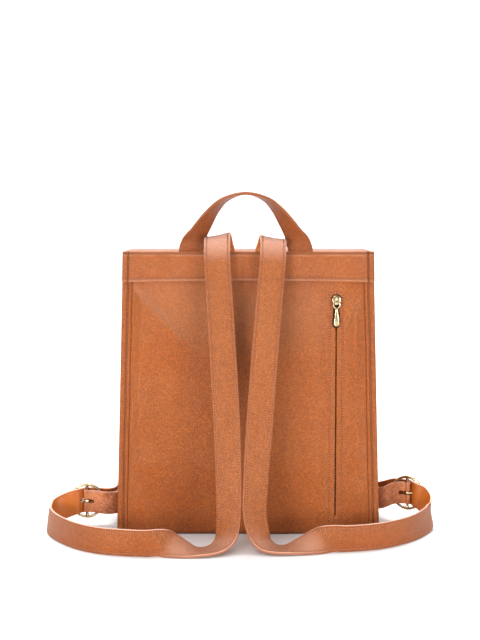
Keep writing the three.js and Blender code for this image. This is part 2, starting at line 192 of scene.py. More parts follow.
def face_out(made):
    """Turns all faces of a closed piece outwards."""
    work = bmesh.new()
    work.from_mesh(made.data)
    bmesh.ops.recalc_face_normals(work, faces=work.faces)
    work.to_mesh(made.data)
    work.free()
    return made


def loft(rings, close_ends=True):
    """Points and faces that join rings of equal numbers of points, one after another."""
    n = len(rings[0])
    faces = []
    for r in range(len(rings) - 1):
        for k in range(n):
            a, b = r * n + k, r * n + (k + 1) % n
            faces.append((a, b, b + n, a + n))
    if close_ends:
        last = (len(rings) - 1) * n
        faces.append(tuple(range(n - 1, -1, -1)))
        faces.append(tuple(range(last, last + n)))
    points = [p for ring in rings for p in ring]
    return points, faces


def slab(name, outer, inner, material, marks=None, is_open=None):
    """A closed sheet between two grids of points. is_open(i, j) says which cells are a hole."""
    rows, columns = len(outer), len(outer[0])
    points = [p for row in outer for p in row] + [p for row in inner for p in row]
    shift = rows * columns
    faces, edges = [], set()
    for i in range(rows - 1):
        for j in range(columns - 1):
            if is_open and is_open(i, j):
                continue
            a = i * columns + j
            face = (a, a + 1, a + columns + 1, a + columns)
            faces.append(face)
            faces.append(tuple(shift + v for v in face[::-1]))
            edges.update(zip(face, face[1:] + face[:1]))
    for a, b in sorted(edges):
        if (b, a) not in edges:
            faces.append((b, a, shift + a, shift + b))
    both = {key: list(v) + [0.0] * (len(points) - len(v)) for key, v in (marks or {}).items()}
    made = piece(name, points, faces, material, both)
    if is_open:
        drop_loose(made)
    return made


def drop_loose(made):
    """Removes points that no face uses."""
    work = bmesh.new()
    work.from_mesh(made.data)
    bmesh.ops.delete(work, geom=[v for v in work.verts if not v.link_faces], context="VERTS")
    work.to_mesh(made.data)
    work.free()


def block(name, low, high, material):
    """An upright box between two corners."""
    x, y, z = zip(low, high)
    points = [(x[i], y[j], z[k]) for k in (0, 1) for j in (0, 1) for i in (0, 1)]
    faces = [(0, 2, 3, 1), (4, 5, 7, 6), (0, 1, 5, 4), (2, 6, 7, 3), (0, 4, 6, 2), (1, 3, 7, 5)]
    return piece(name, points, faces, material)


def revolve(outline, segments, flip=False):
    """Points and faces of a round shape about the Y axis, from (radius, y) pairs."""
    n = len(outline)
    points, faces = [], []
    for k, angle in enumerate(turns(segments)):
        after = (k + 1) % segments
        points += [(r * math.cos(angle), y, r * math.sin(angle)) for r, y in outline]
        for j in range(n):
            a, b = k * n + j, k * n + (j + 1) % n
            c, d = after * n + j, after * n + (j + 1) % n
            faces.append((a, c, d, b) if flip else (a, b, d, c))
    return points, faces


def dress(made, material):
    """Gives a piece one finished material."""
    made.data.materials.clear()
    made.data.materials.append(material)


def belong(made, slot, body, *nodes):
    """Says which CAD nodes a piece stands for, by hiding them, and the body it rides on. slot is
    not used.
    """
    if nodes:
        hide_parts(*nodes)
    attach(made, body)


# ---- belts -----------------------------------------------------------------------------------
GROOVE_DEPTH = 0.28  # of a belt's stitch line, in millimetres
DOME = ((0.55, 0.8), (0.9, 0.5))  # share of the thickness, and how far past the end
SHEEN_HEIGHTS = (286, 311)  # heights between which a belt gets a painted highlight, over its fold at the bag's top


def spline(stations, share):
    """The centripetal Catmull-Rom curve through the stations, at a share of their number."""
    count = len(stations)
    place = share * (count - 1)
    k = min(int(place), count - 2)
    w = place - k
    p1, p2 = stations[k], stations[k + 1]
    p0 = stations[k - 1] if k > 0 else 2 * p1 - p2
    p3 = stations[k + 2] if k + 2 < count else 2 * p2 - p1
    d0, d1, d2 = (math.sqrt(np.linalg.norm(b - a)) for a, b in ((p0, p1), (p1, p2), (p2, p3)))
    d1 = 1.0 if d1 < 1e-4 else d1
    d0 = d1 if d0 < 1e-4 else d0
    d2 = d1 if d2 < 1e-4 else d2
    t1 = ((p1 - p0) / d0 - (p2 - p0) / (d0 + d1) + (p2 - p1) / d1) * d1
    t2 = ((p2 - p1) / d1 - (p3 - p1) / (d1 + d2) + (p3 - p2) / d2) * d1
    c2 = -3 * p1 + 3 * p2 - 2 * t1 - t2
    c3 = 2 * p1 - 2 * p2 + t1 + t2
    return p1 + t1 * w + c2 * w**2 + c3 * w**3


class Route:
    """A belt's middle line, evenly spaced, with the directions across and out of the belt."""

    def __init__(self, stations, step=1.6, mirror=False):
        rows = np.array([s[:6] for s in stations], float)
        middles, across = rows[:, :3], rows[:, 3:]
        across = across / np.linalg.norm(across, axis=1)[:, None]
        shares = np.linspace(0, 1, 24 * len(rows))
        fine = np.array([spline(middles, s) for s in shares])
        lengths = np.concatenate([[0], np.cumsum(np.linalg.norm(np.diff(fine, axis=0), axis=1))])
        count = max(4, int(lengths[-1] / step))
        spots = np.interp(np.linspace(0, lengths[-1], count + 1), lengths, shares)
        self.middle = np.array([spline(middles, s) for s in spots])
        side = np.array([spline(across, s) for s in spots])
        along = np.gradient(self.middle, axis=0)
        along /= np.linalg.norm(along, axis=1)[:, None]
        side -= along * np.sum(side * along, axis=1)[:, None]
        self.side = side / np.linalg.norm(side, axis=1)[:, None]
        self.out = np.cross(along, self.side)
        self.along = along
        self.length = lengths[-1]
        self.mirror = mirror
        self.sway = np.array([0.35 * wave(*p, 46, 3.0) for p in self.middle])

    def point(self, i, a, b, ahead=0.0):
        """The point a across and b out of the belt at its ring i, in metres."""
        p = self.middle[i] + self.side[i] * a + self.out[i] * (b + self.sway[i])
        p = p + self.along[i] * ahead
        return (-p[0] * MM if self.mirror else p[0] * MM, p[1] * MM, p[2] * MM)


def belt_profile(width, thick, crown=0.25, groove=2.8):
    """Points (across, out, rim, groove) round a belt's section, in millimetres."""
    h, t = width / 2, thick / 2
    half = [(0.0, t + crown, 0, 0), (0.3 * h, t + crown * 0.85, 0, 0)]
    half += [(0.55 * h, t + crown * 0.5, 0, 0)]
    if groove:
        half += [(h - groove - 1.1, t + crown * 0.15, 0, 0), (h - groove - 0.5, t, 0, 0.2)]
        half += [(h - groove, t - GROOVE_DEPTH, 0, 1), (h - groove + 0.5, t, 0, 0.2)]
    else:
        half += [(h - 2.4, t + crown * 0.1, 0, 0)]
    half += [(h - 1.1, t, 0, 0), (h - 0.6, t - 0.06, 0.15, 0), (h - 0.22, t - 0.3, 0.8, 0)]
    half += [(h, t - 0.75, 1, 0)]
    top = [(-a, b, r, g) for a, b, r, g in half[:0:-1]] + half
    bottom = [(-a, -b, r, g) for a, b, r, g in top]
    return top + bottom


def make_belt(name, route, profile, material, first=0, last=None, ends=(True, True)):
    """Sweeps a section along part of a route. Its ends are domed where they are closed.

    Its marks are the rim, lightened by wear and by a painted highlight, the stitch groove,
    darkened as painted shade, a painted highlight over the fold at the bag's top edge, and the
    smooth side under the leather.
    """
    last = len(route.middle) - 1 if last is None else last
    rings, rim, groove, painted_highlight = [], [], [], []
    under = [0.0] * (len(profile) // 2) + [1.0] * (len(profile) // 2)
    marks = ([p[2] for p in profile], [p[3] for p in profile])
    stops = [(i, 1.0, 0.0) for i in range(first, last + 1)]
    if ends[0]:
        stops = [(first, thin, -ahead) for thin, ahead in DOME] + stops
    if ends[1]:
        stops = stops + [(last, thin, ahead) for thin, ahead in DOME[::-1]]
    for i, thin, ahead in stops:
        rings.append([route.point(i, p[0], p[1] * thin, ahead) for p in profile])
        rim += marks[0] if not ahead else [1.0] * len(profile)
        groove += marks[1]
        # painted highlight over the fold at the bag's top edge
        painted_highlight += [0.42 * smooth(route.middle[i][2], *SHEEN_HEIGHTS)] * len(profile)
    points, faces = loft(rings, close_ends=False)
    n = len(profile)
    total = len(rings) * n
    if ends[0]:
        faces.append(tuple(range(n - 1, -1, -1)))
    if ends[1]:
        faces.append(tuple(range(total - n, total)))
    if not route.mirror:
        faces = [f[::-1] for f in faces]
    marks = {"rim": rim, "groove": groove, "painted_highlight": painted_highlight, "under": under * len(rings)}
    return piece(name, points, faces, material, marks)


# ---- stitches --------------------------------------------------------------------------------
STITCH_PITCH = 2.7 * MM
STITCH_SHARE = 0.6  # of the pitch that a stitch covers
THREAD = 0.38 * MM


def stitch_line(places):
    """Evenly spaced (middle, along, out) along a list of (point, out direction)."""
    spots = np.array([p for p, _ in places])
    outs = np.array([o for _, o in places])
    lengths = np.concatenate([[0], np.cumsum(np.linalg.norm(np.diff(spots, axis=0), axis=1))])
    count = int(lengths[-1] / STITCH_PITCH)
    found = []
    for k in range(count):
        s = (k + 0.5) * lengths[-1] / count
        ahead = s + STITCH_PITCH / 4
        at = [np.array([np.interp(d, lengths, spots[:, c]) for c in range(3)]) for d in (s, ahead)]
        out = np.array([np.interp(s, lengths, outs[:, c]) for c in range(3)])
        along = at[1] - at[0]
        if np.linalg.norm(along) < 1e-9:
            continue
        found.append((at[0], along / np.linalg.norm(along), out / np.linalg.norm(out)))
    return found


def make_stitches(name, lines, material, radius=THREAD):
    """Short rounded threads, half sunk in the leather, each after the hole that it comes out of.
    Each hole is a flat disc painted dark as its shade.
    """
    # sizes and lifts of a thread's rings, in thread radii
    end, bend, middle_ring = (0.35, -0.5), (0.95, 0.1), (1.0, 0.35)
    stations = ((-0.5, *end), (-0.3, *bend), (0.0, *middle_ring), (0.3, *bend), (0.5, *end))
    points, faces, hole = [], [], []
    sides = 6
    for line in lines:
        for middle, along, out in stitch_line(line):
            across = np.cross(along, out)
            start = len(points)
            # a flat disc in the hole's place, painted dark as the hole's shade
            punched = middle - along * (0.5 * STITCH_PITCH)
            for angle in turns(sides):
                spoke = across * math.cos(angle) * 1.7 + along * math.sin(angle) * 1.5
                points.append(punched + out * (0.12 * radius) + spoke * radius)
            points.append(punched + out * (0.3 * radius))
            faces += [(start + k, start + (k + 1) % sides, start + sides) for k in range(sides)]
            hole += [1.0] * (sides + 1)
            start = len(points)
            for s, size, lift in stations:
                centre = middle + along * (s * STITCH_PITCH * STITCH_SHARE) + out * (lift * radius)
                for angle in turns(sides):
                    spoke = across * math.cos(angle) + out * math.sin(angle)
                    points.append(centre + spoke * (radius * size))
            for r in range(len(stations) - 1):
                for k in range(sides):
                    a, b = start + r * sides + k, start + r * sides + (k + 1) % sides
                    faces.append((a, a + sides, b + sides, b))
            faces.append(tuple(range(start, start + sides)))
            last = start + (len(stations) - 1) * sides
            faces.append(tuple(range(last + sides - 1, last - 1, -1)))
            hole += [0.0] * (len(stations) * sides)
    return piece(name, points, faces, material, {"hole": hole})


def belt_stitches(route, inset, height, first, last):
    """Stitch lines along both edges of a belt, on both its faces."""
    lines = []
    for face in (1, -1):
        for side in (-1, 1):
            line = []
            for i in range(first, last + 1):
                out = route.out[i] * face
                if route.mirror:
                    out = out * np.array([-1, 1, 1])
                line.append((np.array(route.point(i, side * inset, face * height)), out))
            lines.append(line)
    return lines


# ---- materials -------------------------------------------------------------------------------


def nodes_of(name):
    """A new material with its node tree, its shader and the object coordinates."""
    material = bpy.data.materials.new(name)
    material.use_nodes = True
    tree = material.node_tree
    shader = tree.nodes["Principled BSDF"]
    place = tree.nodes.new("ShaderNodeTexCoord").outputs["Object"]
    return material, tree, shader, place


def texture(tree, kind, place, scale, **settings):
    """A texture node. Its settings are sockets or properties, by their names."""
    node = tree.nodes.new(kind)
    tree.links.new(place, node.inputs["Vector"])
    node.inputs["Scale"].default_value = scale
    for key, value in settings.items():
        if key in node.inputs:
            node.inputs[key].default_value = value
        else:
            setattr(node, key, value)
    return node


def ramp(tree, source, stops):
    """A colour ramp through (position, colour or grey) stops."""
    node = tree.nodes.new("ShaderNodeValToRGB")
    elements = node.color_ramp.elements
    while len(elements) < len(stops):
        elements.new(0.5)
    for element, (position, value) in zip(elements, stops):
        element.position = position
        grey = (value, value, value) if isinstance(value, (int, float)) else value
        element.color = (*grey, 1)
    tree.links.new(source, node.inputs["Fac"])
    return node.outputs["Color"]


def mix(tree, factor, a, b, blend="MIX"):
    """Blends two colours. Each of factor, a and b is a value or a socket."""
    node = tree.nodes.new("ShaderNodeMix")
    node.data_type = "RGBA"
    node.blend_type = blend
    if isinstance(factor, (int, float)):
        node.inputs["Factor"].default_value = factor
    else:
        tree.links.new(factor, node.inputs["Factor"])
    # a Mix node has sockets for numbers and vectors as well as these for colours
    colours = [s for s in node.inputs if s.type == "RGBA"]
    for socket, value in zip(colours, (a, b)):
        if isinstance(value, tuple):
            socket.default_value = (*value, 1)
        else:
            tree.links.new(value, socket)
    return [s for s in node.outputs if s.type == "RGBA"][0]


def maths(tree, operation, a, b=0.0):
    """A sum of two numbers. Each is a value or a socket."""
    node = tree.nodes.new("ShaderNodeMath")
    node.operation = operation
    for socket, value in zip(node.inputs, (a, b)):
        if isinstance(value, (int, float)):
            socket.default_value = value
        else:
            tree.links.new(value, socket)
    return node.outputs[0]


def relief(tree, heights, shader):
    """Chains bumps: each is (height socket, distance in metres, strength)."""
    normal = None
    for height, distance, strength in heights:
        node = tree.nodes.new("ShaderNodeBump")
        node.inputs["Distance"].default_value = distance
        node.inputs["Strength"].default_value = strength
        tree.links.new(height, node.inputs["Height"])
        if normal is not None:
            tree.links.new(normal, node.inputs["Normal"])
        normal = node.outputs["Normal"]
    tree.links.new(normal, shader.inputs["Normal"])


def mark_of(tree, name):
    """The named value that a mesh holds per point."""
    node = tree.nodes.new("ShaderNodeAttribute")
    node.attribute_name = name
    return node.outputs["Fac"]


def upward(tree, low, high, start=0.0, end=1.0):
    """Goes from start to end as the Z part of a surface's normal goes from low to high."""
    normal = tree.nodes.new("ShaderNodeNewGeometry").outputs["Normal"]
    parts = tree.nodes.new("ShaderNodeSeparateXYZ")
    tree.links.new(normal, parts.inputs[0])
    shifted = maths(tree, "ADD", maths(tree, "MULTIPLY", parts.outputs["Z"], 0.5), 0.5)
    return ramp(tree, shifted, ((0.5 + low / 2, start), (0.5 + high / 2, end)))


PEBBLES = 640  # per metre
ROUGH = 0.4  # of leather


def make_leather(name, deep, base, light, rim, under=None, painted_top_sheen=0.3):
    """Pebbled leather: grain cells, mottled colour, stitch grooves darkened with painted shade, and
    rims lightened by wear.

    Its colour goes from deep to light in clouds, which also paint soft vertical bands of light and
    shade. Painted light tints faces that look up paler and faces that look down deeper. Rims,
    lighter still where they face up as a painted highlight, marked highlights and, as painted
    sheen, faces that look up go towards rim, and under is the colour of the smooth side.
    """
    material, tree, shader, place = nodes_of(name)
    # the clouds are tall, so that besides varying at random they paint soft vertical bands of light
    # and shade, as folds would
    tall = tree.nodes.new("ShaderNodeMapping")
    tall.inputs["Scale"].default_value = (1.0, 1.0, 0.35)
    tree.links.new(place, tall.inputs["Vector"])
    clouds_and_fold_shade = texture(tree, "ShaderNodeTexNoise", tall.outputs[0], 19, Detail=2.0, Roughness=0.5)
    mottle = texture(tree, "ShaderNodeTexNoise", place, 110, Detail=3.0, Roughness=0.55)
    warp = texture(tree, "ShaderNodeTexNoise", place, 420, Detail=2.0)
    moved = tree.nodes.new("ShaderNodeVectorMath")
    moved.operation = "MULTIPLY_ADD"
    tree.links.new(warp.outputs["Color"], moved.inputs[0])
    moved.inputs[1].default_value = (0.0012, 0.0012, 0.0012)
    tree.links.new(place, moved.inputs[2])
    cell = "ShaderNodeTexVoronoi"
    edges = texture(tree, cell, moved.outputs[0], PEBBLES, feature="DISTANCE_TO_EDGE")
    cells = texture(tree, cell, moved.outputs[0], PEBBLES, feature="F1")
    fine = texture(tree, "ShaderNodeTexNoise", place, 2400, Detail=2.0)

    colour = ramp(tree, clouds_and_fold_shade.outputs["Fac"], ((0.3, deep), (0.5, base), (0.7, light)))
    spots = ramp(tree, mottle.outputs["Fac"], ((0.3, 0.97), (0.7, 1.03)))
    colour = mix(tree, 1.0, colour, spots, "MULTIPLY")
    # painted light: faces that look up are tinted paler and pinker, faces that look down deeper
    # orange
    painted_top_light = upward(tree, -0.05, 0.12, (0.98, 0.88, 0.66), (1.01, 1.13, 1.64))
    colour = mix(tree, 1.0, colour, painted_top_light, "MULTIPLY")
    one_cell = tree.nodes.new("ShaderNodeSeparateColor")
    tree.links.new(cells.outputs["Color"], one_cell.inputs[0])
    pebble = ramp(tree, one_cell.outputs[0], ((0.0, 0.83), (1.0, 1.16)))
    colour = mix(tree, 1.0, colour, pebble, "MULTIPLY")
    valleys = ramp(tree, edges.outputs["Distance"], ((0.0, 0.5), (0.15, 0.96), (0.5, 1.1)))
    colour = mix(tree, 0.9, colour, valleys, "MULTIPLY")
    # painted sheen: faces that look up go towards pale, a mix of the light and rim colours
    pale = tuple(0.3 * c + 0.7 * r for c, r in zip(light, rim))
    colour = mix(tree, maths(tree, "MULTIPLY", upward(tree, 0.2, 0.8), painted_top_sheen), colour, pale)
    # painted highlight: where a mesh's highlight mark is set, the colour goes towards rim
    colour = mix(tree, maths(tree, "MULTIPLY", mark_of(tree, "painted_highlight"), 0.7), colour, rim)
    # painted shade: the groove mark darkens stitch grooves, the seam lines beside turned edges and
    # the bag's bottom edge
    dark = tuple(c * 0.3 for c in base)
    colour = mix(tree, maths(tree, "MULTIPLY", mark_of(tree, "groove"), 0.88), colour, dark)
    if under:
        smooth_side = mix(tree, 1.0, under, spots, "MULTIPLY")
        colour = mix(tree, mark_of(tree, "under"), colour, smooth_side)
    # rims go lighter, partly from wear and partly as a painted highlight, strongest where a rim
    # faces up
    worn_and_lit_rim = maths(tree, "MULTIPLY", mark_of(tree, "rim"), upward(tree, 0.25, 0.7, 0.1, 0.9))
    colour = mix(tree, worn_and_lit_rim, colour, rim)
    tree.links.new(colour, shader.inputs["Base Color"])

    polish = ramp(tree, mottle.outputs["Fac"], ((0.3, ROUGH - 0.05), (0.7, ROUGH + 0.07)))
    tree.links.new(polish, shader.inputs["Roughness"])
    pebbles = ramp(tree, edges.outputs["Distance"], ((0.0, 0.0), (0.2, 0.8), (0.5, 1.0)))
    if under:
        outer = maths(tree, "SUBTRACT", 1.0, mark_of(tree, "under"))
        pebbles = maths(tree, "MULTIPLY", pebbles, outer)
    heights = (
        (mottle.outputs["Fac"], 0.0009, 0.2),
        (pebbles, 0.0005, 0.85),
        (fine.outputs["Fac"], 0.00008, 0.3),
    )
    relief(tree, heights, shader)
    shader.inputs["Specular IOR Level"].default_value = 0.32
    return material


def make_metal(name, colour, tarnish, rough):
    """Polished plated brass with faint scratches and slight tarnish."""
    material, tree, shader, place = nodes_of(name)
    clouds = texture(tree, "ShaderNodeTexNoise", place, 260, Detail=4.0)
    scratches = texture(tree, "ShaderNodeTexNoise", place, 1800, Detail=3.0, Distortion=1.6)
    tint = ramp(tree, clouds.outputs["Fac"], ((0.36, tarnish), (0.58, colour)))
    tree.links.new(tint, shader.inputs["Base Color"])
    polish = ramp(tree, clouds.outputs["Fac"], ((0.3, rough + 0.12), (0.65, rough)))
    tree.links.new(polish, shader.inputs["Roughness"])
    shader.inputs["Metallic"].default_value = 1.0
    relief(tree, ((scratches.outputs["Fac"], 0.00003, 0.25),), shader)
    return material


def make_weave(name, dark, light, pitch):
    """Plain woven cloth: two crossed sets of yarns."""
    material, tree, shader, place = nodes_of(name)
    fuzz = texture(tree, "ShaderNodeTexNoise", place, 900, Detail=3.0)
    yarns = []
    for direction in ("X", "Z"):
        scale = 1 / (pitch * 2)
        settings = {"bands_direction": direction, "Distortion": 0.6}
        yarns.append(texture(tree, "ShaderNodeTexWave", place, scale, **settings))
    weave = maths(tree, "MULTIPLY", yarns[0].outputs["Fac"], yarns[1].outputs["Fac"])
    height = maths(tree, "ADD", weave, maths(tree, "MULTIPLY", fuzz.outputs["Fac"], 0.4))
    tree.links.new(ramp(tree, height, ((0.15, dark), (0.9, light))), shader.inputs["Base Color"])
    dull = ramp(tree, fuzz.outputs["Fac"], ((0.3, 0.8), (0.7, 0.9)))
    tree.links.new(dull, shader.inputs["Roughness"])
    relief(tree, ((height, 0.0002, 0.5),), shader)
    return material


def make_thread(name, dark, light, punched):
    """Waxed thread with its twist, between small punched holes that are painted dark as their
    shade.
    """
    material, tree, shader, place = nodes_of(name)
    settings = {"bands_direction": "DIAGONAL", "Distortion": 0.5}
    twist = texture(tree, "ShaderNodeTexWave", place, 900, **settings)
    colour = ramp(tree, twist.outputs["Fac"], ((0.2, dark), (0.8, light)))
    # painted shade: hole discs take the dark punched colour
    colour = mix(tree, mark_of(tree, "hole"), colour, punched)
    tree.links.new(colour, shader.inputs["Base Color"])
    uneven = texture(tree, "ShaderNodeTexNoise", place, 700)
    waxed = ramp(tree, uneven.outputs["Fac"], ((0.3, 0.45), (0.7, 0.6)))
    tree.links.new(waxed, shader.inputs["Roughness"])
    relief(tree, ((twist.outputs["Fac"], 0.0001, 0.4),), shader)
    return material


def make_board(name):
    """Pressed fibre board."""
    material, tree, shader, place = nodes_of(name)
    fibres = texture(tree, "ShaderNodeTexNoise", place, 500, Detail=6.0, Distortion=1.0)
    colours = ((0.3, (0.12, 0.08, 0.05)), (0.7, (0.24, 0.17, 0.1)))
    tree.links.new(ramp(tree, fibres.outputs["Fac"], colours), shader.inputs["Base Color"])
    dull = ramp(tree, fibres.outputs["Fac"], ((0.3, 0.8), (0.7, 0.95)))
    tree.links.new(dull, shader.inputs["Roughness"])
    relief(tree, ((fibres.outputs["Fac"], 0.0002, 0.5),), shader)
    return material


# each rim colour is that of edges lightened by wear, and also of painted highlights and sheen
body_leather = make_leather(
    "body_leather",
    deep=(0.305, 0.075, 0.01),
    base=(0.335, 0.0855, 0.0125),
    light=(0.365, 0.098, 0.016),
    rim=(0.58, 0.28, 0.18),
)
strap_leather = make_leather(
    "strap_leather",
    deep=(0.305, 0.074, 0.0102),
    base=(0.325, 0.08, 0.0115),
    light=(0.345, 0.088, 0.0135),
    rim=(0.85, 0.55, 0.45),
    under=(0.37, 0.095, 0.012),
)
handle_leather = make_leather(
    "handle_leather",
    deep=(0.24, 0.06, 0.011),
    base=(0.27, 0.069, 0.014),
    light=(0.3, 0.08, 0.017),
    rim=(0.4, 0.16, 0.08),
)
# a lighter copy of the leather with a paler rim and more painted sheen: painted light on the tab,
# which sits in shade
lit_tab_leather = make_leather(
    "lit_tab_leather",
    deep=(0.52, 0.17, 0.06),
    base=(0.58, 0.2, 0.08),
    light=(0.64, 0.24, 0.1),
    rim=(0.95, 0.7, 0.58),
    painted_top_sheen=0.6,
)
brass = make_metal("pale_brass", (0.72, 0.6, 0.38), (0.34, 0.23, 0.11), 0.17)
# painted shade: the zip's teeth are near black, as they lie in shade behind the slit
shade_dark_teeth = make_metal("teeth_in_shade", (0.1, 0.055, 0.03), (0.06, 0.03, 0.018), 0.4)
cloth = make_weave("lining_cloth", (0.14, 0.07, 0.032), (0.3, 0.17, 0.085), 0.6 * MM)
tape_cloth = make_weave("zip_tape", (0.05, 0.02, 0.01), (0.16, 0.065, 0.03), 0.35 * MM)
# painted shade: the dark colour of the discs in stitch holes
hole = (0.05, 0.012, 0.006)
thread = make_thread("body_thread", (0.3, 0.08, 0.025), (0.44, 0.14, 0.05), hole)
# painted light: a lighter copy of the thread for the lower straps, which lie on the floor facing
# the light
lit_strap_thread = make_thread("lit_strap_thread", (0.4, 0.12, 0.035), (0.58, 0.22, 0.085), hole)
# painted shade: darker copies of the hole and thread for the hanging straps
shaded_hole = (0.045, 0.011, 0.005)
shaded_strap_thread = make_thread("shaded_strap_thread", (0.3, 0.075, 0.016), (0.4, 0.11, 0.03), shaded_hole)
board = make_board("fibre_board")

# ---- body shell ------------------------------------------------------------------------------
CORNER = 5 * MM
RIM_DROP = 1.5 * MM  # of the shell's upper edge below the frame's
ROWS = 110
BACK_STEPS, SIDE_STEPS, FRONT_STEPS = 150, 36, 90
BULGE = 6.2  # of the back panel, in millimetres
FOLD_TOP = 266 * MM  # where the folds start, in the panel's upper corners
# for each fold: its corner, how steeply it runs down, and how far the panel leans back above it
LEFT_FOLD, RIGHT_FOLD = (-121 * MM, 1.0, 4.6), (126 * MM, 1.9, 3.2)


def back_relief(x, z):
    """How far the back panel stands out towards the wearer, from its pulls and folds."""
    half = half_width(z) - 11 * MM
    side = abs(x) / half
    fade = 1 - smooth(side, 0.9, 1.0)
    out = BULGE * smooth(z, 268 * MM, 185 * MM) * smooth(z, -10 * MM, 80 * MM) * (1 - 0.5 * side**2)
    for corner, slope, lift in (LEFT_FOLD, RIGHT_FOLD):
        across = (x - corner) * math.copysign(1, -corner)
        above = across * slope - (FOLD_TOP - z)
        near = 1 - smooth(across, 32 * MM, 78 * MM)
        out += lift * near * smooth(z, 165 * MM, 235 * MM) * smooth(above, 3 * MM, -5 * MM)
    out += 1.3 * bump(abs(x), 112 * MM, 26 * MM) * wave(x * 0.4, 0, z, 30 * MM, 5.3)
    out += 1.5 * wave(x, 0, z * 0.3, 34 * MM, 1.7) + 0.3 * wave(x, 0, z, 24 * MM, 9.1)
    out -= 1.2 * smooth(z, 26 * MM, 0)
    out = max(-1.2, out) * fade
    # the zip holds the panel flat
    by_zip = smooth(abs(x - ZIP_X), 5 * MM, 22 * MM) if ZIP_BASE - 20 * MM < z else 1.0
    return (out * by_zip + 0.25 * (1 - by_zip)) * MM


def painted_panel_sheen(x, z):
    """How much painted sheen lies on the back panel: a streak along the fold of its left corner and
    a wider patch above it, where the panel leans back towards the light.
    """
    above = x - LEFT_FOLD[0] - (FOLD_TOP - z)
    ridge = bump(above, -1 * MM, 7 * MM) * smooth(x, -50 * MM, -90 * MM)
    height = smooth(z, 185 * MM, 250 * MM) * smooth(x, 112 * MM, 60 * MM)
    return smooth(above, -5 * MM, 3 * MM) * 0.11 * height + 0.17 * ridge


def sunk(z, y):
    """The bag's mouth lies lower towards the front."""
    share = (y - BACK) / (FRONT_TOP - BACK)
    return z - (0.6 + 2.0 * share) * MM * smooth(z, 240 * MM, HEIGHT)


def ring_at(z, inset=0.0):
    """One level of the bag's outline, as points that start at the left rear corner."""
    half, front = half_width(z) - inset, front_face(z) - inset
    back = BACK + inset
    depth = front - back
    up = z / HEIGHT
    pull = 6.5 * MM * math.sin(math.pi * min(1, max(0, up))) ** 0.8 * (1 - 0.3 * up)
    points = []

    def round_corner(x):
        """How far the outline has come round a corner at x."""
        edge = min(x + half, half - x)
        return CORNER - math.sqrt(max(0, CORNER**2 - (CORNER - edge) ** 2)) if edge < CORNER else 0

    def add_side(side, start, way, seed):
        """A gusset, pulled in between its corners."""
        for i in range(SIDE_STEPS):
            t = i / SIDE_STEPS
            y = start + way * (depth - 2 * CORNER) * t
            fold = pull * math.sin(math.pi * t) ** 1.3
            fold += 0.8 * MM * wave(side * half, y, z, 34 * MM, seed) * math.sin(math.pi * t)
            points.append((side * (half - fold), y, z))

    for i in range(BACK_STEPS):
        x = -half + 2 * half * i / BACK_STEPS
        points.append((x, back + round_corner(x) - back_relief(x, z), z))
    add_side(1, back + CORNER, 1, 2.2)
    for i in range(FRONT_STEPS):
        x = half - 2 * half * i / FRONT_STEPS
        hollow = 0.5 * MM * (1 + wave(x, 1, z, 50 * MM, 4.4))
        points.append((x, front - round_corner(x) - hollow, z))
    add_side(-1, front - CORNER, -1, 6.2)
    return [(x, y, sunk(z, y)) for x, y, z in points]


def make_shell():
    """The leather body: its underside, its four sides, its upper edge and its inner faces."""
    rings = []
    middle_y = (BACK + FRONT_BASE) / 2

    def shrunk(ring, share, z):
        return [(p[0] * share, middle_y + (p[1] - middle_y) * share, z) for p in ring]

    base = ring_at(0.0, 2.5 * MM)
    rings.append(shrunk(base, 0.05, 0.35 * MM))
    rings.append(shrunk(base, 0.5, 0.35 * MM))
    rings.append(shrunk(base, 0.96, 0.05 * MM))
    rings.append([(x, y, 0.0) for x, y, _ in ring_at(0.0, 2.2 * MM)])
    rings.append([(x, y, 0.7 * MM) for x, y, _ in ring_at(0.7 * MM, 0.8 * MM)])
    top = HEIGHT - RIM_DROP
    for r in range(ROWS + 1):
        z = 2.2 * MM + (top - 2.2 * MM) * r / ROWS
        rings.append(ring_at(z))
    rings.append([(x, y, z + 0.6 * MM) for x, y, z in ring_at(top, 0.5 * MM)])
    rings.append([(x, y, z + 0.6 * MM) for x, y, z in ring_at(top, LEATHER - 0.5 * MM)])
    for r in range(ROWS, -1, -2):
        z = LEATHER + 1 * MM + (top - LEATHER - 1 * MM) * r / ROWS
        rings.append(ring_at(z, LEATHER))
    inner = rings[-1]
    rings += [shrunk(inner, 0.5, LEATHER), shrunk(inner, 0.05, LEATHER)]
    points, faces = loft(rings)
    # painted shadow: the groove mark darkens the lowest few millimetres, where the bag meets the
    # floor
    dark = [0.8 * smooth(z, 4 * MM, 0.5 * MM) for _, _, z in points]
    # painted sheen on the back panel, along and above the fold of its left corner
    polish = [painted_panel_sheen(x, z) if y < BACK + 1 * MM else 0.0 for x, y, z in points]
    shell = piece("bag_shell", points, faces, body_leather, {"groove": dark, "painted_highlight": polish})
    carve(shell, make_slot_tool())
    dress(shell, body_leather)
    crisp(shell, 55)
    nodes = ("back_panel", "front_panel", "gusset_left", "gusset_right", "bottom_panel")
    belong(shell, "body_leather", "bag", *nodes)


SLIT = 0.8 * MM  # half width of the slit over the closed zip
EYE = 5.6 * MM  # radius of the opening round the slider
PULL_ROOM = 4.4 * MM  # half width of the opening round the puller


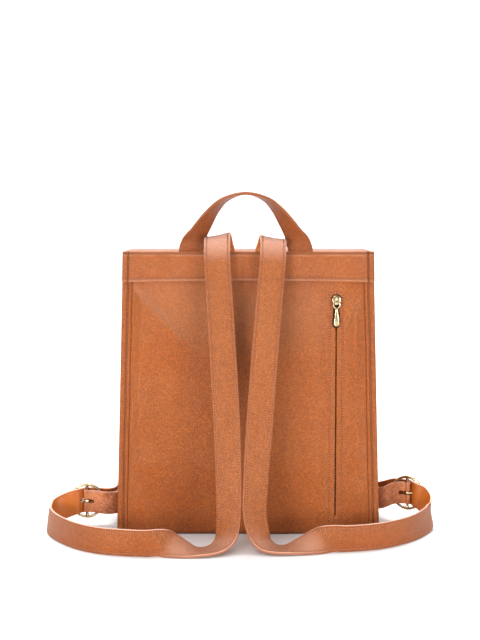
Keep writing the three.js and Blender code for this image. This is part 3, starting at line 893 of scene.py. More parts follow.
def slot_outline():
    """The opening over the zip: an eye round the slider, room for the puller, then a slit."""
    eye_z = (slider_low.z + slider_high.z) / 2 + 0.8 * MM
    low = puller_low.z
    right = []
    for k in range(13):
        angle = math.radians(90 - k * 12)
        right.append((EYE * math.cos(angle), eye_z + EYE * math.sin(angle)))
    right += [(PULL_ROOM * 0.72, eye_z - 11 * MM), (PULL_ROOM * 0.95, low + 5 * MM)]
    right += [(PULL_ROOM, low + 2 * MM)]
    for k in range(1, 7):
        angle = math.radians(-k * 13)
        right.append((PULL_ROOM * math.cos(angle), low + 2 * MM + PULL_ROOM * math.sin(angle)))
    right += [(SLIT * 1.1, low - 4 * MM), (SLIT, low - 14 * MM)]
    right += [(SLIT, ZIP_BASE + 1 * MM), (0.3 * MM, ZIP_BASE)]
    left = [(-x, z) for x, z in right[::-1] if x > 0.01 * MM]
    return right + left


def make_slot_tool():
    """The solid that cuts the opening out of the shell."""
    outline = slot_outline()
    rings = [[(ZIP_X + x, BACK + y, z) for x, z in outline] for y in (-9 * MM, 8 * MM)]
    points, faces = loft(rings)
    return face_out(piece("slot_tool", points, faces, body_leather))


make_shell()

# ---- zip ------------------------------------------------------------------------------------


def zip_stitches():
    """The box of stitches round the zip."""
    reach, corner = 6.6 * MM, 3 * MM
    top, base = ZIP_TOP + 7.5 * MM, ZIP_BASE - 4.5 * MM
    path = [(-reach, base), (-reach, top - corner), (-reach + corner, top)]
    path += [(reach - corner, top), (reach, top - corner), (reach, base), (-reach, base)]
    line = []
    for (x0, z0), (x1, z1) in zip(path, path[1:]):
        count = max(2, int(math.hypot(x1 - x0, z1 - z0) / (2 * MM)))
        for k in range(count):
            x, z = x0 + (x1 - x0) * k / count + ZIP_X, z0 + (z1 - z0) * k / count
            spot = np.array((x, BACK - back_relief(x, z) - 0.05 * MM, z))
            line.append((spot, np.array((0, -1.0, 0))))
    return [line]


TOOTH_PITCH = 2 * MM


def make_tape(side, word):
    """One woven tape, with its thicker edge at the teeth."""
    outer, inner = [], []
    rows = 60
    for i in range(rows + 1):
        z = tape_low.z + (tape_high.z - tape_low.z) * i / rows
        row = []
        for x, lift in ((0.35, 0.25), (1.0, 0.3), (1.8, 0.1), (3.2, 0.0), (7.0, 0.0), (11.6, 0.05)):
            row.append((ZIP_X + side * x * MM, tape_low.y + (1.2 - lift) * MM, z))
        outer.append(row)
        inner.append([(x, y + 0.7 * MM, z) for x, y, z in row])
    tape = slab("zip_tape_piece_" + word, outer, inner, tape_cloth)
    belong(tape, "zip_tape", "bag", "zip_tape_" + word)


def make_teeth(side, word):
    """The teeth on one tape, each a small block with a narrower face."""
    points, faces = [], []
    z = ZIP_BASE + 1.5 * MM + (TOOTH_PITCH / 2 if side > 0 else 0)
    while z < ZIP_TOP - 5 * MM:
        start = len(points)
        for y, reach, tall in ((-0.1, 1.3, 0.4), (0.2, 1.7, 0.62), (1.2, 1.7, 0.62)):
            for x, h in ((-0.55, -1), (reach, -1), (reach, 1), (-0.55, 1)):
                shrink = 0.75 if x < 0 else 1.0
                rise = h * tall * shrink * MM
                points.append((ZIP_X + side * x * MM, tape_low.y + y * MM, z + rise))
        tooth = [(0, 3, 2, 1), (8, 9, 10, 11)]
        for low in (0, 4):
            around = [(low + k, low + (k + 1) % 4) for k in range(4)]
            tooth += [(a, b, b + 4, a + 4) for a, b in around]
        faces += [tuple(start + v for v in (f if side > 0 else f[::-1])) for f in tooth]
        z += TOOTH_PITCH
    teeth = piece("zip_teeth_" + word, points, faces, shade_dark_teeth, flat=True)
    belong(teeth, "zip_tape", "bag")


belong(make_stitches("zip_stitches", zip_stitches(), thread, 0.46 * MM), "body_leather", "bag")
for side, word in ((-1, "left"), (1, "right")):
    make_tape(side, word)
    make_teeth(side, word)


def plate(name, outline, y0, y1, material, round_edge):
    """A flat plate in the XZ plane between two depths, with rounded edges."""
    rings = [[(x, y, z) for x, z in outline] for y in (y0, y1)]
    made = face_out(piece(name, *loft(rings), material))
    return crisp(soften(made, round_edge, 3, 40), 35)


def bar_along(name, path, half_width_x, thick, material):
    """A flat bar bent along (z, y) points, its width along X."""
    rings = []
    for i, (z, y) in enumerate(path):
        before, after = path[max(0, i - 1)], path[min(len(path) - 1, i + 1)]
        run, rise = after[0] - before[0], after[1] - before[1]
        length = math.hypot(run, rise)
        nz, ny = -rise / length * thick / 2, run / length * thick / 2
        corners = ((-1, -1), (1, -1), (1, 1), (-1, 1))
        rings.append([(ZIP_X + sx * half_width_x, y + s * ny, z + s * nz) for sx, s in corners])
    made = face_out(piece(name, *loft(rings), material))
    return crisp(soften(made, thick * 0.28, 2, 40), 35)


def make_slider():
    """A shield-shaped plate with a raised bridge down its middle, and the half behind the teeth."""
    middle_z = (slider_low.z + slider_high.z) / 2
    x0, y0 = ZIP_X, slider_low.y
    wide, tall = 4.6 * MM, 5.0 * MM
    outline = []
    for angle in turns(32):
        c, s = math.cos(angle), math.sin(angle)
        taper = 1 - 0.3 * smooth(-s, 0.0, 1.0)
        outline.append((x0 + wide * taper * bulged(c, 0.75), middle_z + tall * bulged(s, 0.8)))
    face = plate("zip_slider_body", outline, y0 + 2.2 * MM, y0 + 4.0 * MM, brass, 0.6 * MM)
    bridge = []
    for k in range(13):
        angle = math.pi * k / 12
        z = middle_z + 0.9 * MM + 3.2 * MM * math.cos(angle)
        bridge.append((z, y0 + 3.1 * MM - 2.7 * MM * math.sin(angle) ** 0.7))
    arch = bar_along("zip_slider_arch", bridge, 0.75 * MM, 0.9 * MM, brass)
    low = (x0 - 4.2 * MM, BACK + 3.9 * MM, slider_low.z + 0.4 * MM)
    high = (x0 + 4.2 * MM, BACK + 5 * MM, slider_high.z - 0.4 * MM)
    heel = soften(block("zip_slider_heel", low, high, brass), 0.5 * MM, 2)
    # the post is narrower than the slit, and stops before the teeth
    low = (x0 - 0.55 * MM, BACK - 1 * MM, slider_high.z - 3.4 * MM)
    high = (x0 + 0.55 * MM, tape_low.y - 0.3 * MM, slider_high.z - 0.6 * MM)
    post = block("zip_slider_post", low, high, brass)
    for part in (heel, post, arch):
        belong(part, "brass", "zip_slider")
    belong(face, "brass", "zip_slider", "zip_slider")


def make_puller():
    """A flared tab with a round eye at its top, which goes round the slider's bridge."""
    top, low = puller_high.z + 1.2 * MM, puller_low.z
    eye, opening, neck, foot = 4.0 * MM, 2.5 * MM, 1.1 * MM, 2.9 * MM
    eye_z = top - eye
    outline = []
    for k in range(21):
        angle = math.radians(-68 + k * (180 + 136) / 20)
        outline.append((ZIP_X + eye * math.cos(angle), eye_z + eye * 1.12 * math.sin(angle)))
    flare = [(neck, eye_z - 5.6 * MM), (neck * 1.25, eye_z - 8 * MM)]
    flare += [(foot * 0.8, low + 7 * MM), (foot, low + 2.4 * MM)]
    outline += [(ZIP_X - x, z) for x, z in flare]
    for k in range(1, 6):
        angle = math.radians(180 + k * 30)
        z = low + 1.6 * MM + 1.6 * MM * math.sin(angle)
        outline.append((ZIP_X + foot * math.cos(angle), z))
    outline += [(ZIP_X + x, z) for x, z in flare[::-1]]
    front, back = puller_low.y + 0.5 * MM, puller_high.y
    tab = plate("zip_pull_tab", outline, front, back, brass, 0.4 * MM)
    hole = []
    for angle in turns(20):
        z = eye_z - 0.3 * MM + opening * 1.25 * math.sin(angle)
        hole.append((ZIP_X + opening * math.cos(angle), z))
    rings = [[(x, y, z) for x, z in hole] for y in (front - 2 * MM, back + 2 * MM)]
    carve(tab, face_out(piece("pull_hole", *loft(rings), brass)))
    belong(crisp(tab, 35), "brass", "zip_puller", "zip_puller")


make_slider()
make_puller()

# ---- corner edges -----------------------------------------------------------------------------


def seam_point(side, rear, t, out, z):
    """A point of a corner edge: t in from the side, out from the panel, in metres."""
    x = side * (half_width(z) - t)
    face = BACK - out if rear else front_face(z) + out
    return (x, face, z)


def make_corner_edge(name, side, rear, low, high):
    """A turned edge: a roll on the corner, a stitched groove and a ridge. Returns its seam."""
    roll = [(2.6, -4.5), (0.7, -4.2), (0.1, -2.6), (0.0, -0.6), (0.35, 0.9), (1.3, 1.9), (2.6, 2.3)]
    groove_side = [(4.0, 2.2), (5.2, 1.6), (5.8, 0.8), (6.4, 0.3), (7.0, 0.8), (7.6, 1.6)]
    ridge = [(8.6, 1.9), (9.6, 1.7), (10.3, 1.2), (10.7, 0.4), (10.8, 0.05)]
    underside = [(8.0, 0.15), (5.0, 0.15), (3.4, 0.1), (3.0, -2.0)]
    section = roll + groove_side + ridge + underside
    # painted shade: the groove mark darkens the stitched groove and the ridge's foot, where it
    # meets the panel
    dark = {9: 0.6, 10: 1.0, 11: 0.5, 16: 0.6, 17: 1.0}
    rings, groove = [], []
    rows = 130
    for r in range(rows + 1):
        z = low + (high - low) * r / rows
        thick = 1 + 0.1 * wave(side, 0, z, 22 * MM, 3.1 if rear else 7.7)
        shift = 0.35 * MM * wave(side * 2, 1, z, 40 * MM, 1.4)
        ring = []
        for k, (t, out) in enumerate(section):
            inward = t * MM + (shift if t > 3 else 0)
            ring.append(seam_point(side, rear, inward, out * MM * (thick if out > 0 else 1), z))
            groove.append(dark.get(k, 0.0))
        rings.append(ring)
    points, faces = loft(rings)
    if (side > 0) == rear:
        faces = [f[::-1] for f in faces]
    edge = piece(name + "_edge", points, faces, body_leather, {"groove": groove})
    belong(edge, "body_leather", "bag", name)
    line = []
    for r in range(rows + 1):
        z = low + (high - low) * r / rows
        out = np.array((0, -1.0 if rear else 1.0, 0))
        line.append((np.array(seam_point(side, rear, 6.4 * MM, 0.6 * MM, z)), out))
    return line


edge_lines = []
for side, word in ((-1, "left"), (1, "right")):
    for place, rear, below in (("rear_seam_", True, 31 * MM), ("front_seam_", False, 4.5 * MM)):
        seam = make_corner_edge(place + word, side, rear, 1 * MM, HEIGHT - below)
        edge_lines.append(seam)
belong(make_stitches("edge_stitches", edge_lines, thread), "body_leather", "bag")

# ---- band across the top of the back -----------------------------------------------------------
ROOT_SPANS = ((-71.5 * MM, -9.5 * MM), (1.5 * MM, 67.5 * MM))
BAND_STITCH = 2.2 * MM  # below the top edge
BAND_ARCH = 1.8 * MM  # by which the band's lower edge rises to its middle


def band_edge(share):
    """Height of the band's lower edge, at a share of the way from its middle to an end."""
    return BAND_LOW + BAND_ARCH * (1 - share**2)


def band_surface(x, z):
    """Depth of the band's outer face. It bulges over the sewn ends of straps and handle."""
    half = half_width(z)
    over = 0.0
    for low, high in ROOT_SPANS:
        past_low = smooth(x, low - 9 * MM, low + 2 * MM)
        past_high = smooth(x, high - 2 * MM, high + 9 * MM)
        over = max(over, past_low * (1 - past_high))
    out = 3.1 + 2.3 * over
    # the stitch line below the top edge is drawn in, with a soft roll under it
    below_top = (HEIGHT - z) / MM
    pucker = wave(x, 0, 0, 8 * MM, 2.6)
    out -= (0.9 + 0.3 * pucker) * bump(below_top, BAND_STITCH / MM, 1.3)
    roll = bump(below_top, 4.6 + 0.5 * wave(x, 0, 2, 17 * MM), 2.2)
    out += 0.55 * roll * (1 + wave(x, 0, 2, 20 * MM))
    out -= (1.0 - 0.4 * over) * smooth(below_top, 1.4, 0.0)
    # the lower edge is a lip with its own stitch line above it
    above_low = (z - BAND_LOW) / MM
    out += 1.4 * smooth(above_low, 5.0, 0.5)
    out -= 0.5 * bump(above_low, 3.4, 1.1)
    out += 0.6 * wave(x, 0, z, 30 * MM, 4.2) + 0.3 * wave(x, 0, z, 11 * MM, 6.6)
    # each end is stitched down and turned round the corner
    near_end = (half - abs(x)) / MM
    out -= 1.7 * bump(near_end, 6.2, 1.4) - 0.5 * bump(near_end, 3.0, 2.6)
    out -= 2.4 * smooth(near_end, 1.8, 0.0) + 0.7 * smooth(near_end, 14, 6.4)
    return BACK - max(0.6, out) * MM


def make_band():
    """The strip over the roots, with painted shade in its stitch grooves, a painted highlight on
    its face, roll and lip, and its stitches.
    """
    columns, rows = 340, 44
    outer, inner, groove, painted_highlight = [], [], [], []
    for r in range(rows + 1):
        row = []
        t = r / rows
        for c in range(columns + 1):
            share = -1 + 2 * c / columns
            edge = band_edge(share)
            z = edge + (HEIGHT - 0.3 * MM - edge) * t
            x = share * (half_width(z) + 0.3 * MM)
            z += 0.5 * MM * wave(x, 3, 0, 24 * MM, 1.1) * t**4
            row.append((x, band_surface(x, z), z))
            below_top = (HEIGHT - z) / MM
            near_end = (half_width(z) - abs(x)) / MM
            # painted shade in the stitch grooves below the top edge, above the lip and beside the
            # ends
            low_end = bump((z - edge) / MM, 3.4, 0.9) * 0.4
            top_line = bump(below_top, BAND_STITCH / MM, 1.2)
            groove.append(max(top_line, bump(near_end, 6.2, 1.2), low_end))
            # painted highlight: a little over the whole band, more on the roll under the top
            # stitches and on the lower lip
            ridge = bump(below_top, 4.4, 1.6) * (0.5 + wave(x, 0, 2, 20 * MM))
            painted_highlight.append(0.06 + 0.4 * max(0.0, ridge, bump((z - edge) / MM, 0.8, 1.6)))
        outer.append(row)
        inner.append([(x * 0.998, min(y + 2.0 * MM, BACK - 0.1 * MM), z) for x, y, z in row])
    band = slab("top_band", outer, inner, body_leather, {"groove": groove, "painted_highlight": painted_highlight})
    soften(band, 0.7 * MM, 3, 60)
    crisp(band, 60)
    belong(band, "body_leather", "bag", "back_band")
    belong(make_stitches("band_stitches", band_stitches(), thread), "body_leather", "bag")


def band_stitches():
    """Stitch lines below the band's top edge, above its lower edge and beside its two ends."""
    top, low, ends = [], [], ([], [])
    for c in range(341):
        share = -0.97 + 1.94 * c / 340
        top.append((share * half_width(HEIGHT - BAND_STITCH), HEIGHT - BAND_STITCH))
        z = band_edge(share) + 3.2 * MM
        low.append((share * half_width(z), z))
    for k in range(24):
        z = BAND_LOW + 2 * MM + (HEIGHT - BAND_LOW - 6 * MM) * k / 23
        for side, end in zip((-1, 1), ends):
            end.append((side * (half_width(z) - 6 * MM), z))
    out = np.array((0, -1.0, 0))
    lines = []
    for spots in (top, low, *ends):
        lines.append([(np.array((x, band_surface(x, z) - 0.05 * MM, z)), out) for x, z in spots])
    return lines


make_band()

# ---- handle ----------------------------------------------------------------------------------
# stations are (x, y, z) in millimetres and the direction across the belt
ROOT_Y = -51.7
HANDLE_LEAN = 2.6
HANDLE_WIDTH, HANDLE_THICK = 25, 3.0
handle_half = [
    [-53, ROOT_Y, 274, -1, 0, 0.2],
    [-56, ROOT_Y, 290, -1, 0, 0.25],
    [-56.9, ROOT_Y, 301.5, -1, 0, 0.35],
    [-55.4, ROOT_Y - 0.2, 306, -1, -0.02, 0.42],
    [-52.5, ROOT_Y - 0.9, 312, -0.84, -0.4, 0.4],
    [-48.8, ROOT_Y - 1.6, 319, -0.6, -0.74, 0.33],
    [-41.8, ROOT_Y - 2.4, 330, -0.46, -0.84, 0.3],
    [-32.5, ROOT_Y - 3.2, 343, -0.3, -0.93, 0.18],
    [-21.3, ROOT_Y - 4, 353.4, -0.18, -0.97, 0.07],
]
handle_top = [0, ROOT_Y - 4.6, 359.9, 0, -1, 0]


def mirrored(stations):
    return [[-x, y, z, -a, b, c] for x, y, z, a, b, c in stations]


def make_handle():
    """One strip that stands up out of the band and twists to its top. It gets no painted highlight.
    """
    rows = handle_half + [handle_top] + mirrored(handle_half)[::-1]
    route = Route([[x - HANDLE_LEAN, *rest] for x, *rest in rows], 1.4)
    profile = belt_profile(HANDLE_WIDTH, HANDLE_THICK, 0.2, groove=0)
    handle = make_belt("carry_handle", route, profile, handle_leather)
    handle.data.attributes.remove(handle.data.attributes["painted_highlight"])
    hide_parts("handle", "handle_root_left", "handle_root_right")
    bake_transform(handle)


make_handle()

# ---- shoulder straps ---------------------------------------------------------------------------
FOLD_Y = ROOT_Y - 6.8
STRAP_WIDTH, STRAP_THICK = 27, 2.6
STRAP_INSET = 2.8  # of the stitches from a strap's edge
STRAP_JOIN = 170  # height at which a strap's two meshes meet
STRAP_DROP = 0.35  # how fast a strap sinks on its way out of its buckle
TAB_HEIGHT = 26  # middle of a tab where it is sewn to the bag
# a strap's way through its buckle: outwards along the strap, and towards the wearer
THREADING = [[17.4, 4], [12.8, 3.9], [9.2, 2.9], [5.9, -0.7], [3.2, -4], [0, -5.2], [-8, -5.3]]
left_route = {
    "root": [
        [-23.5, ROOT_Y, 272, 1, 0, 0.1],
        [-26, ROOT_Y, 292, 1, 0, 0.13],
        [-27.7, ROOT_Y - 0.1, 301.6, 1, 0, 0.15],
        [-28.7, ROOT_Y - 1.9, 305, 1, 0, 0.17],
        [-30.2, ROOT_Y - 4.6, 312.6, 1, 0, 0.18],
        [-31.4, FOLD_Y, 315.6, 1, 0, 0.18],
        [-31.9, FOLD_Y - 5.3, 312.6, 1, 0, 0.13],
        [-32.2, FOLD_Y - 6.6, 304, 1, 0, 0.05],
    ],
    "fall": [
        [-32, -67.4, 291.7, 1, 0, 0],
        [-29, -75.6, 246, 1, 0, 0],
        [-25.3, -86.8, 185.6, 1, 0, 0],
        [-21.9, -97.9, 125.7, 1, -0.05, 0],
        [-20.1, -108.9, 66.5, 0.95, -0.3, 0],
        [-20, -114, 38, 0.9, -0.43, 0],
    ],
    "floor": [
        [-21.8, -117.8, 18, 0.8, -0.6, 0],
        [-26, -121, 9.8, 0.64, -0.77, 0],
        [-32, -124.5, 5.7, 0.5, -0.87, 0],
        [-41, -128, 3.7, 0.3, -0.95, 0],
        [-53, -129.5, 3.6, 0, -1, -0.07],
        [-64, -130.3, 6.7, 0, -0.91, -0.4],
        [-74, -132, 10.6, 0, -0.68, -0.73],
        [-87, -134.8, 14.1, 0, -0.1, -1],
        [-102, -135.8, 13.8, 0, 0, -1],
        [-125, -132.5, 13.8, 0, 0, -1],
        [-150, -124.5, 13.8, -0.02, 0, -1],
        [-172, -109.5, 13.9, -0.05, 0, -1],
        [-191.5, -86, 14, -0.08, 0, -1],
        [-206, -59.5, 14.2, -0.12, 0, -1],
        [-212, -39, 15.4, -0.13, 0, -1],
        [-209.5, -26, 18.2, -0.1, 0, -1],
        [-202, -19.8, 21.8, -0.05, 0, -1],
    ],
    "buckle": (-175, -13.5, 28),
    "yaw": 0,
    "tab": [[-158, -18.4], [-149, -15.6], [-142.6, -8], [-140.9, 3], [-140.9, 20]],
    "tail": [[-157, -7.6], [-151, -4], [-146.6, 4], [-145.2, 18], [-145.2, 38]],
}
right_route = {
    "root": [
        [-15, ROOT_Y, 272, 1, 0, 0.13],
        [-19, ROOT_Y, 292, 1, 0, 0.14],
        [-21.1, ROOT_Y - 0.1, 301.6, 1, 0, 0.15],
        [-22.3, ROOT_Y - 1.9, 305, 1, 0, 0.17],
        [-23.9, ROOT_Y - 4.6, 311, 1, 0, 0.17],
        [-25.2, FOLD_Y, 312.9, 1, 0, 0.15],
        [-25.5, FOLD_Y - 5.3, 311, 1, 0, 0.1],
        [-25.6, FOLD_Y - 6.6, 304, 1, 0, 0.05],
    ],
    "fall": [
        [-25.2, -67.4, 291.7, 1, 0, 0],
        [-21.1, -75.6, 246, 1, 0, 0],
        [-15.9, -86.8, 185.6, 1, 0, 0],
        [-11.2, -97.9, 125.7, 1, -0.1, 0],
        [-7.1, -108.9, 66.5, 0.9, -0.4, 0],
        [-6.2, -113.5, 38, 0.85, -0.5, 0],
    ],
    "floor": [
        [-10.4, -116.6, 18, 0.78, -0.62, 0],
        [-14.8, -119, 10, 0.62, -0.78, 0],
        [-20.8, -120.8, 6, 0.5, -0.87, 0],
        [-28, -121.8, 4, 0.25, -0.97, 0],
        [-39, -121, 3.6, 0, -1, -0.05],
        [-53, -119.4, 6.7, 0, -0.91, -0.4],
        [-65.5, -119.4, 10.6, 0, -0.68, -0.73],
        [-80, -120, 14.1, 0, -0.1, -1],
        [-102, -117, 13.7, 0, 0, -1],
        [-133, -107.5, 13.8, -0.02, 0, -1],
        [-156, -91.5, 13.9, -0.05, 0, -1],
        [-173, -73, 14, -0.1, 0, -1],
        [-186, -52, 14.3, -0.16, 0, -1],
        [-193.6, -36.5, 15, -0.2, 0, -1],
        [-195.8, -28, 18, -0.16, 0, -1],
        [-193.8, -21.2, 23.6, -0.1, 0, -1],
    ],
    "buckle": (-175, -2, 34),
    "yaw": 32,
    "tab": [[-159, 2.6], [-150, 4.2], [-143.4, 10], [-140.9, 20], [-140.9, 34]],
    "tail": [[-163, 12.6], [-154.6, 16.6], [-148, 24], [-145.3, 35], [-145.3, 48]],
}


def buckle_place(route, u, n):
    """A point by the buckle's bar: u outwards along the strap, n towards the wearer."""
    x, y, z = route["buckle"]
    angle = math.radians(route["yaw"])
    c, s = math.cos(angle), math.sin(angle)
    return [x - u * c + n * s, y - u * s - n * c, z - max(0, u - 10) * STRAP_DROP]


def sinking(route, point):
    """A station of the tab or the tail, which both sink towards the bag."""
    x, y = point
    height = route["buckle"][2]
    share = smooth(x, route["buckle"][0] + 10, -142)
    return [x, y, height - 0.5 + (TAB_HEIGHT - height) * share, 0, 0, -1]


def make_strap(word, route, mirror):
    """A strap as two meshes, so that each crosses one joint, with the stitches of each."""
    threaded = [[*buckle_place(route, u, n), 0, 0, -1] for u, n in THREADING]
    tail = [sinking(route, p) for p in route["tail"]]
    path = Route(route["root"] + route["fall"] + route["floor"] + threaded + tail, 1.7, mirror)
    profile = belt_profile(STRAP_WIDTH, STRAP_THICK, groove=STRAP_INSET)
    heights = path.middle[:, 2]
    last = len(heights) - 1
    out_of_band = np.nonzero(heights > 296)[0][0]
    join = np.nonzero((heights < STRAP_JOIN) & (np.arange(len(heights)) > 30))[0][0]
    belt = (path, profile, strap_leather)
    upper = make_belt("strap_upper_" + word, *belt, 0, join, (True, False))
    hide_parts("strap_root_" + word)
    lower = make_belt("strap_lower_" + word, *belt, join, None, (False, True))
    cut_prong_hole(lower, route, mirror)
    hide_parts("shoulder_strap_" + word, "strap_end_" + word)
    inset, height = STRAP_WIDTH / 2 - STRAP_INSET, STRAP_THICK / 2 - 0.2
    lines = belt_stitches(path, inset, height, out_of_band, join)
    upper_stitches = make_stitches("strap_upper_stitches_" + word, lines, shaded_strap_thread)
    lines = belt_stitches(path, inset, height, join, last - 2)
    lower_stitches = make_stitches("strap_lower_stitches_" + word, lines, lit_strap_thread)
    for part in (upper, upper_stitches):
        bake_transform(part)
    for part in (lower, lower_stitches):
        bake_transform(part)


def from_station(point, mirror):
    """A point in millimetres as one in metres, on its own side of the bag."""
    x, y, z = point
    return (-x if mirror else x) * MM, y * MM, z * MM


def cut_prong_hole(strap, route, mirror):
    """A long hole, so that the prong can turn in it."""
    angle = math.radians(route["yaw"]) + 0.75
    x, y, z = buckle_place(route, 8.0, -2.5)
    c, s = math.cos(angle), math.sin(angle)
    outline = [(4.6 * bulged(math.cos(t), 0.7), 1.9 * bulged(math.sin(t), 0.7)) for t in turns(16)]
    rings = []
    for depth in (-4.5, 4.5):
        ring = []
        for along, up in outline:
            spot = (x + along * c - depth * s, y + along * s + depth * c, z + up)
            ring.append(from_station(spot, mirror))
        rings.append(ring)
    carve(strap, face_out(piece("prong_hole", *loft(rings), strap_leather)))


def brass_piece(name, points, faces, route, mirror):
    """A piece that is drawn about its buckle's middle, moved to where the buckle sits."""
    x, y, z = route["buckle"]
    angle = math.radians(route["yaw"])
    c, s = math.cos(angle), math.sin(angle)
    places = [(x + px * c - py * s, y + px * s + py * c, z + pz) for px, py, pz in points]
    return piece(name, [from_station(p, mirror) for p in places], faces, brass)


def brass_rod(name, rings, route, mirror):
    """A rod through rings of points."""
    points, faces = loft(rings)
    return brass_piece(name, points, [f[::-1] for f in faces] if mirror else faces, route, mirror)


RING_RADIUS, WIRE, BAR = 17.6, 1.55, 1.6
PRONG_START, PRONG_REACH, PRONG_RISE = 2.2, 16.9, 0.16


def make_buckle(word, route, mirror):
    """The ring with its middle bar, flared where it meets the ring."""
    wire = [(RING_RADIUS + WIRE * math.cos(t), WIRE * math.sin(t)) for t in turns(16)]
    ring = brass_piece("buckle_ring_" + word, *revolve(wire, 96, not mirror), route, mirror)
    rings = []
    for z in (-16.9, -16.2, -15.2, -13, 0, 13, 15.2, 16.2, 16.9):
        flare = BAR * (1 + 0.35 * smooth(abs(z), 13.5, 16.5))
        rings.append([(flare * math.cos(t), flare * math.sin(t), z) for t in turns(20)])
    carve(ring, brass_rod("buckle_bar_" + word, rings, route, mirror), "UNION")
    belong(crisp(ring, 50), "brass", "bag", "buckle_" + word)


def make_prong(word, route, mirror):
    """A collar round the buckle's bar, and a rod that narrows to a round tip."""
    section = [(BAR + 0.85 + 0.6 * math.cos(t), 1.5 * math.sin(t)) for t in turns(14)]
    points, faces = revolve(section, 32, not mirror)
    points = [(x, z, y) for x, y, z in points]
    collar = brass_piece("prong_eye_" + word, points, faces, route, mirror)
    rings = []
    for k in range(15):
        s = k / 14
        radius = (1.15 - 0.3 * s) * math.sqrt(max(0.02, 1 - max(0, (s - 0.93) / 0.075) ** 2))
        along = PRONG_START + PRONG_REACH * s
        y = PRONG_RISE * along + 0.3 * math.sin(math.pi * s)
        ring = [(y + radius * math.cos(t), radius * 1.1 * math.sin(t)) for t in turns(14)]
        rings.append([(-along, *spot) for spot in ring])
    carve(collar, brass_rod("prong_rod_" + word, rings, route, mirror), "UNION")
    belong(crisp(collar, 50), "brass", "prong_" + word, "prong_" + word)


TAB_WRAP = 2.75  # from the middle of the buckle's bar to the middle of the leather round it
TAB_HALF = 12
LAYER_APART, LAYER_HALF = 0.95, 0.75  # half the distance between the two layers, half of one layer
SLOT_LOW, SLOT_STEPS = -2.2, 5  # the slot that the prong comes out of


def tab_layers(route, path):
    """(middle, outward, share of the way to the bag, side) along the strip and back."""
    n = len(path.middle)
    layers = []
    for i in range(n - 1, -1, -1):
        layers.append((path.middle[i] + path.out[i] * LAYER_APART, path.out[i], i / n, 1))
    centre = np.array(buckle_place(route, 0, 0))
    for k in range(13):
        t = math.radians(78 - k * 156 / 12)
        spot = np.array(buckle_place(route, TAB_WRAP * math.cos(t), TAB_WRAP * math.sin(t)))
        layers.append((spot, (spot - centre) / TAB_WRAP, 0.0, 1))
    for i in range(n):
        layers.append((path.middle[i] - path.out[i] * LAYER_APART, -path.out[i], i / n, -1))
    return layers


def make_tab(word, route, mirror):
    """A creased strip that folds round the buckle's bar and is sewn to the bag's side."""
    middle = [[*buckle_place(route, u, n), 0, 0, -1] for u, n in ((-3.5, 1.6), (-8, 2.9))]
    path = Route(middle + [sinking(route, p) for p in route["tab"]], 0.8)
    levels = [-TAB_HALF + 0.8 * c for c in range(12)] + [SLOT_LOW + 0.88 * c for c in range(6)]
    levels += [3.2 + 0.8 * c for c in range(12)]
    outer, inner, in_slot, crease_highlights = [], [], [], []
    for spot, out, share, side in tab_layers(route, path):
        out = out / np.linalg.norm(out)
        fade = smooth(share, 0.08, 0.35) * (1 - smooth(share, 0.85, 1.0))
        row_out, row_in = [], []
        for level in levels:
            x, y, z = spot[0], spot[1], spot[2] + level
            diagonal = (x + 0.8 * z) / 1.7 + 1.7 * wave(x, y, z, 8, 3)
            ridge = 1 - abs(math.sin(diagonal))
            crease = side * fade * (0.8 * ridge - 0.3 + 0.7 * wave(x, y, z, 9, 6.5))
            # painted highlight on the ridges of the outer layer's creases
            crease_highlights.append(fade * ridge**2 if side > 0 else 0.0)
            half = LAYER_HALF - 0.25 * smooth(abs(level), 10.6, TAB_HALF)
            middle = np.array((x, y, z)) + out * crease
            row_out.append(from_station(middle + out * half, mirror))
            row_in.append(from_station(middle - out * half, mirror))
        outer.append(row_out)
        inner.append(row_in)
        in_slot.append(share * path.length < 6.0)
    first = levels.index(SLOT_LOW)

    def is_open(i, j):
        return in_slot[i] and in_slot[i + 1] and first <= j < first + SLOT_STEPS

    tab = face_out(slab("tab_" + word, outer, inner, lit_tab_leather, {"painted_highlight": crease_highlights}, is_open))
    belong(crisp(tab, 60), "body_leather", "bag", "buckle_tab_" + word)


for word, route, mirror in (("left", left_route, False), ("right", right_route, True)):
    make_strap(word, route, mirror)
    make_buckle(word, route, mirror)
    make_prong(word, route, mirror)
    make_tab(word, route, mirror)

# ---- flap ------------------------------------------------------------------------------------
CROWN_TOP = HEIGHT + 0.4 * MM
CROWN_BACK = BACK + 0.4 * MM
CROWN_SPLIT = 0.0  # where the flap's two meshes meet
FOLD_RADIUS = 4.5 * MM
FLAP_CORNER = 16 * MM
TOP_RUN = FLAP_FRONT - FOLD_RADIUS - 4 * MM - CROWN_SPLIT
FOLD_RUN = FOLD_RADIUS * math.pi / 2
HANG = CROWN_TOP - FOLD_RADIUS - drape_low.z


def crown_height(x, y):
    """Height of the flap's upper face over the opening, which sags a little between its sides."""
    share = abs(x) / FLAP_HALF
    deep = bump(y, -4 * MM, 46 * MM)
    sag = 2.0 * (1 - share**2) * deep
    ripple = 0.35 * wave(x, y, 0, 36 * MM, 2.9)
    side = 0.8 * smooth(share, 0.94, 1.0)
    return CROWN_TOP - (sag + ripple * deep + side) * MM


def flap_sheet(name, path, rows):
    """A sheet through path(t, share), which gives (x, y, z, outward y, outward z)."""
    outer, inner = [], []
    columns = 120
    for r in range(rows):
        row_out, row_in = [], []
        for c in range(columns + 1):
            x, y, z, oy, oz = path(r / (rows - 1), -1 + 2 * c / columns)
            row_out.append((x, y, z))
            row_in.append((x, y - oy * LEATHER, z - oz * LEATHER))
        outer.append(row_out)
        inner.append(row_in)
    return crisp(round_rim(face_out(slab(name, outer, inner, body_leather)), 0.7 * MM), 50)


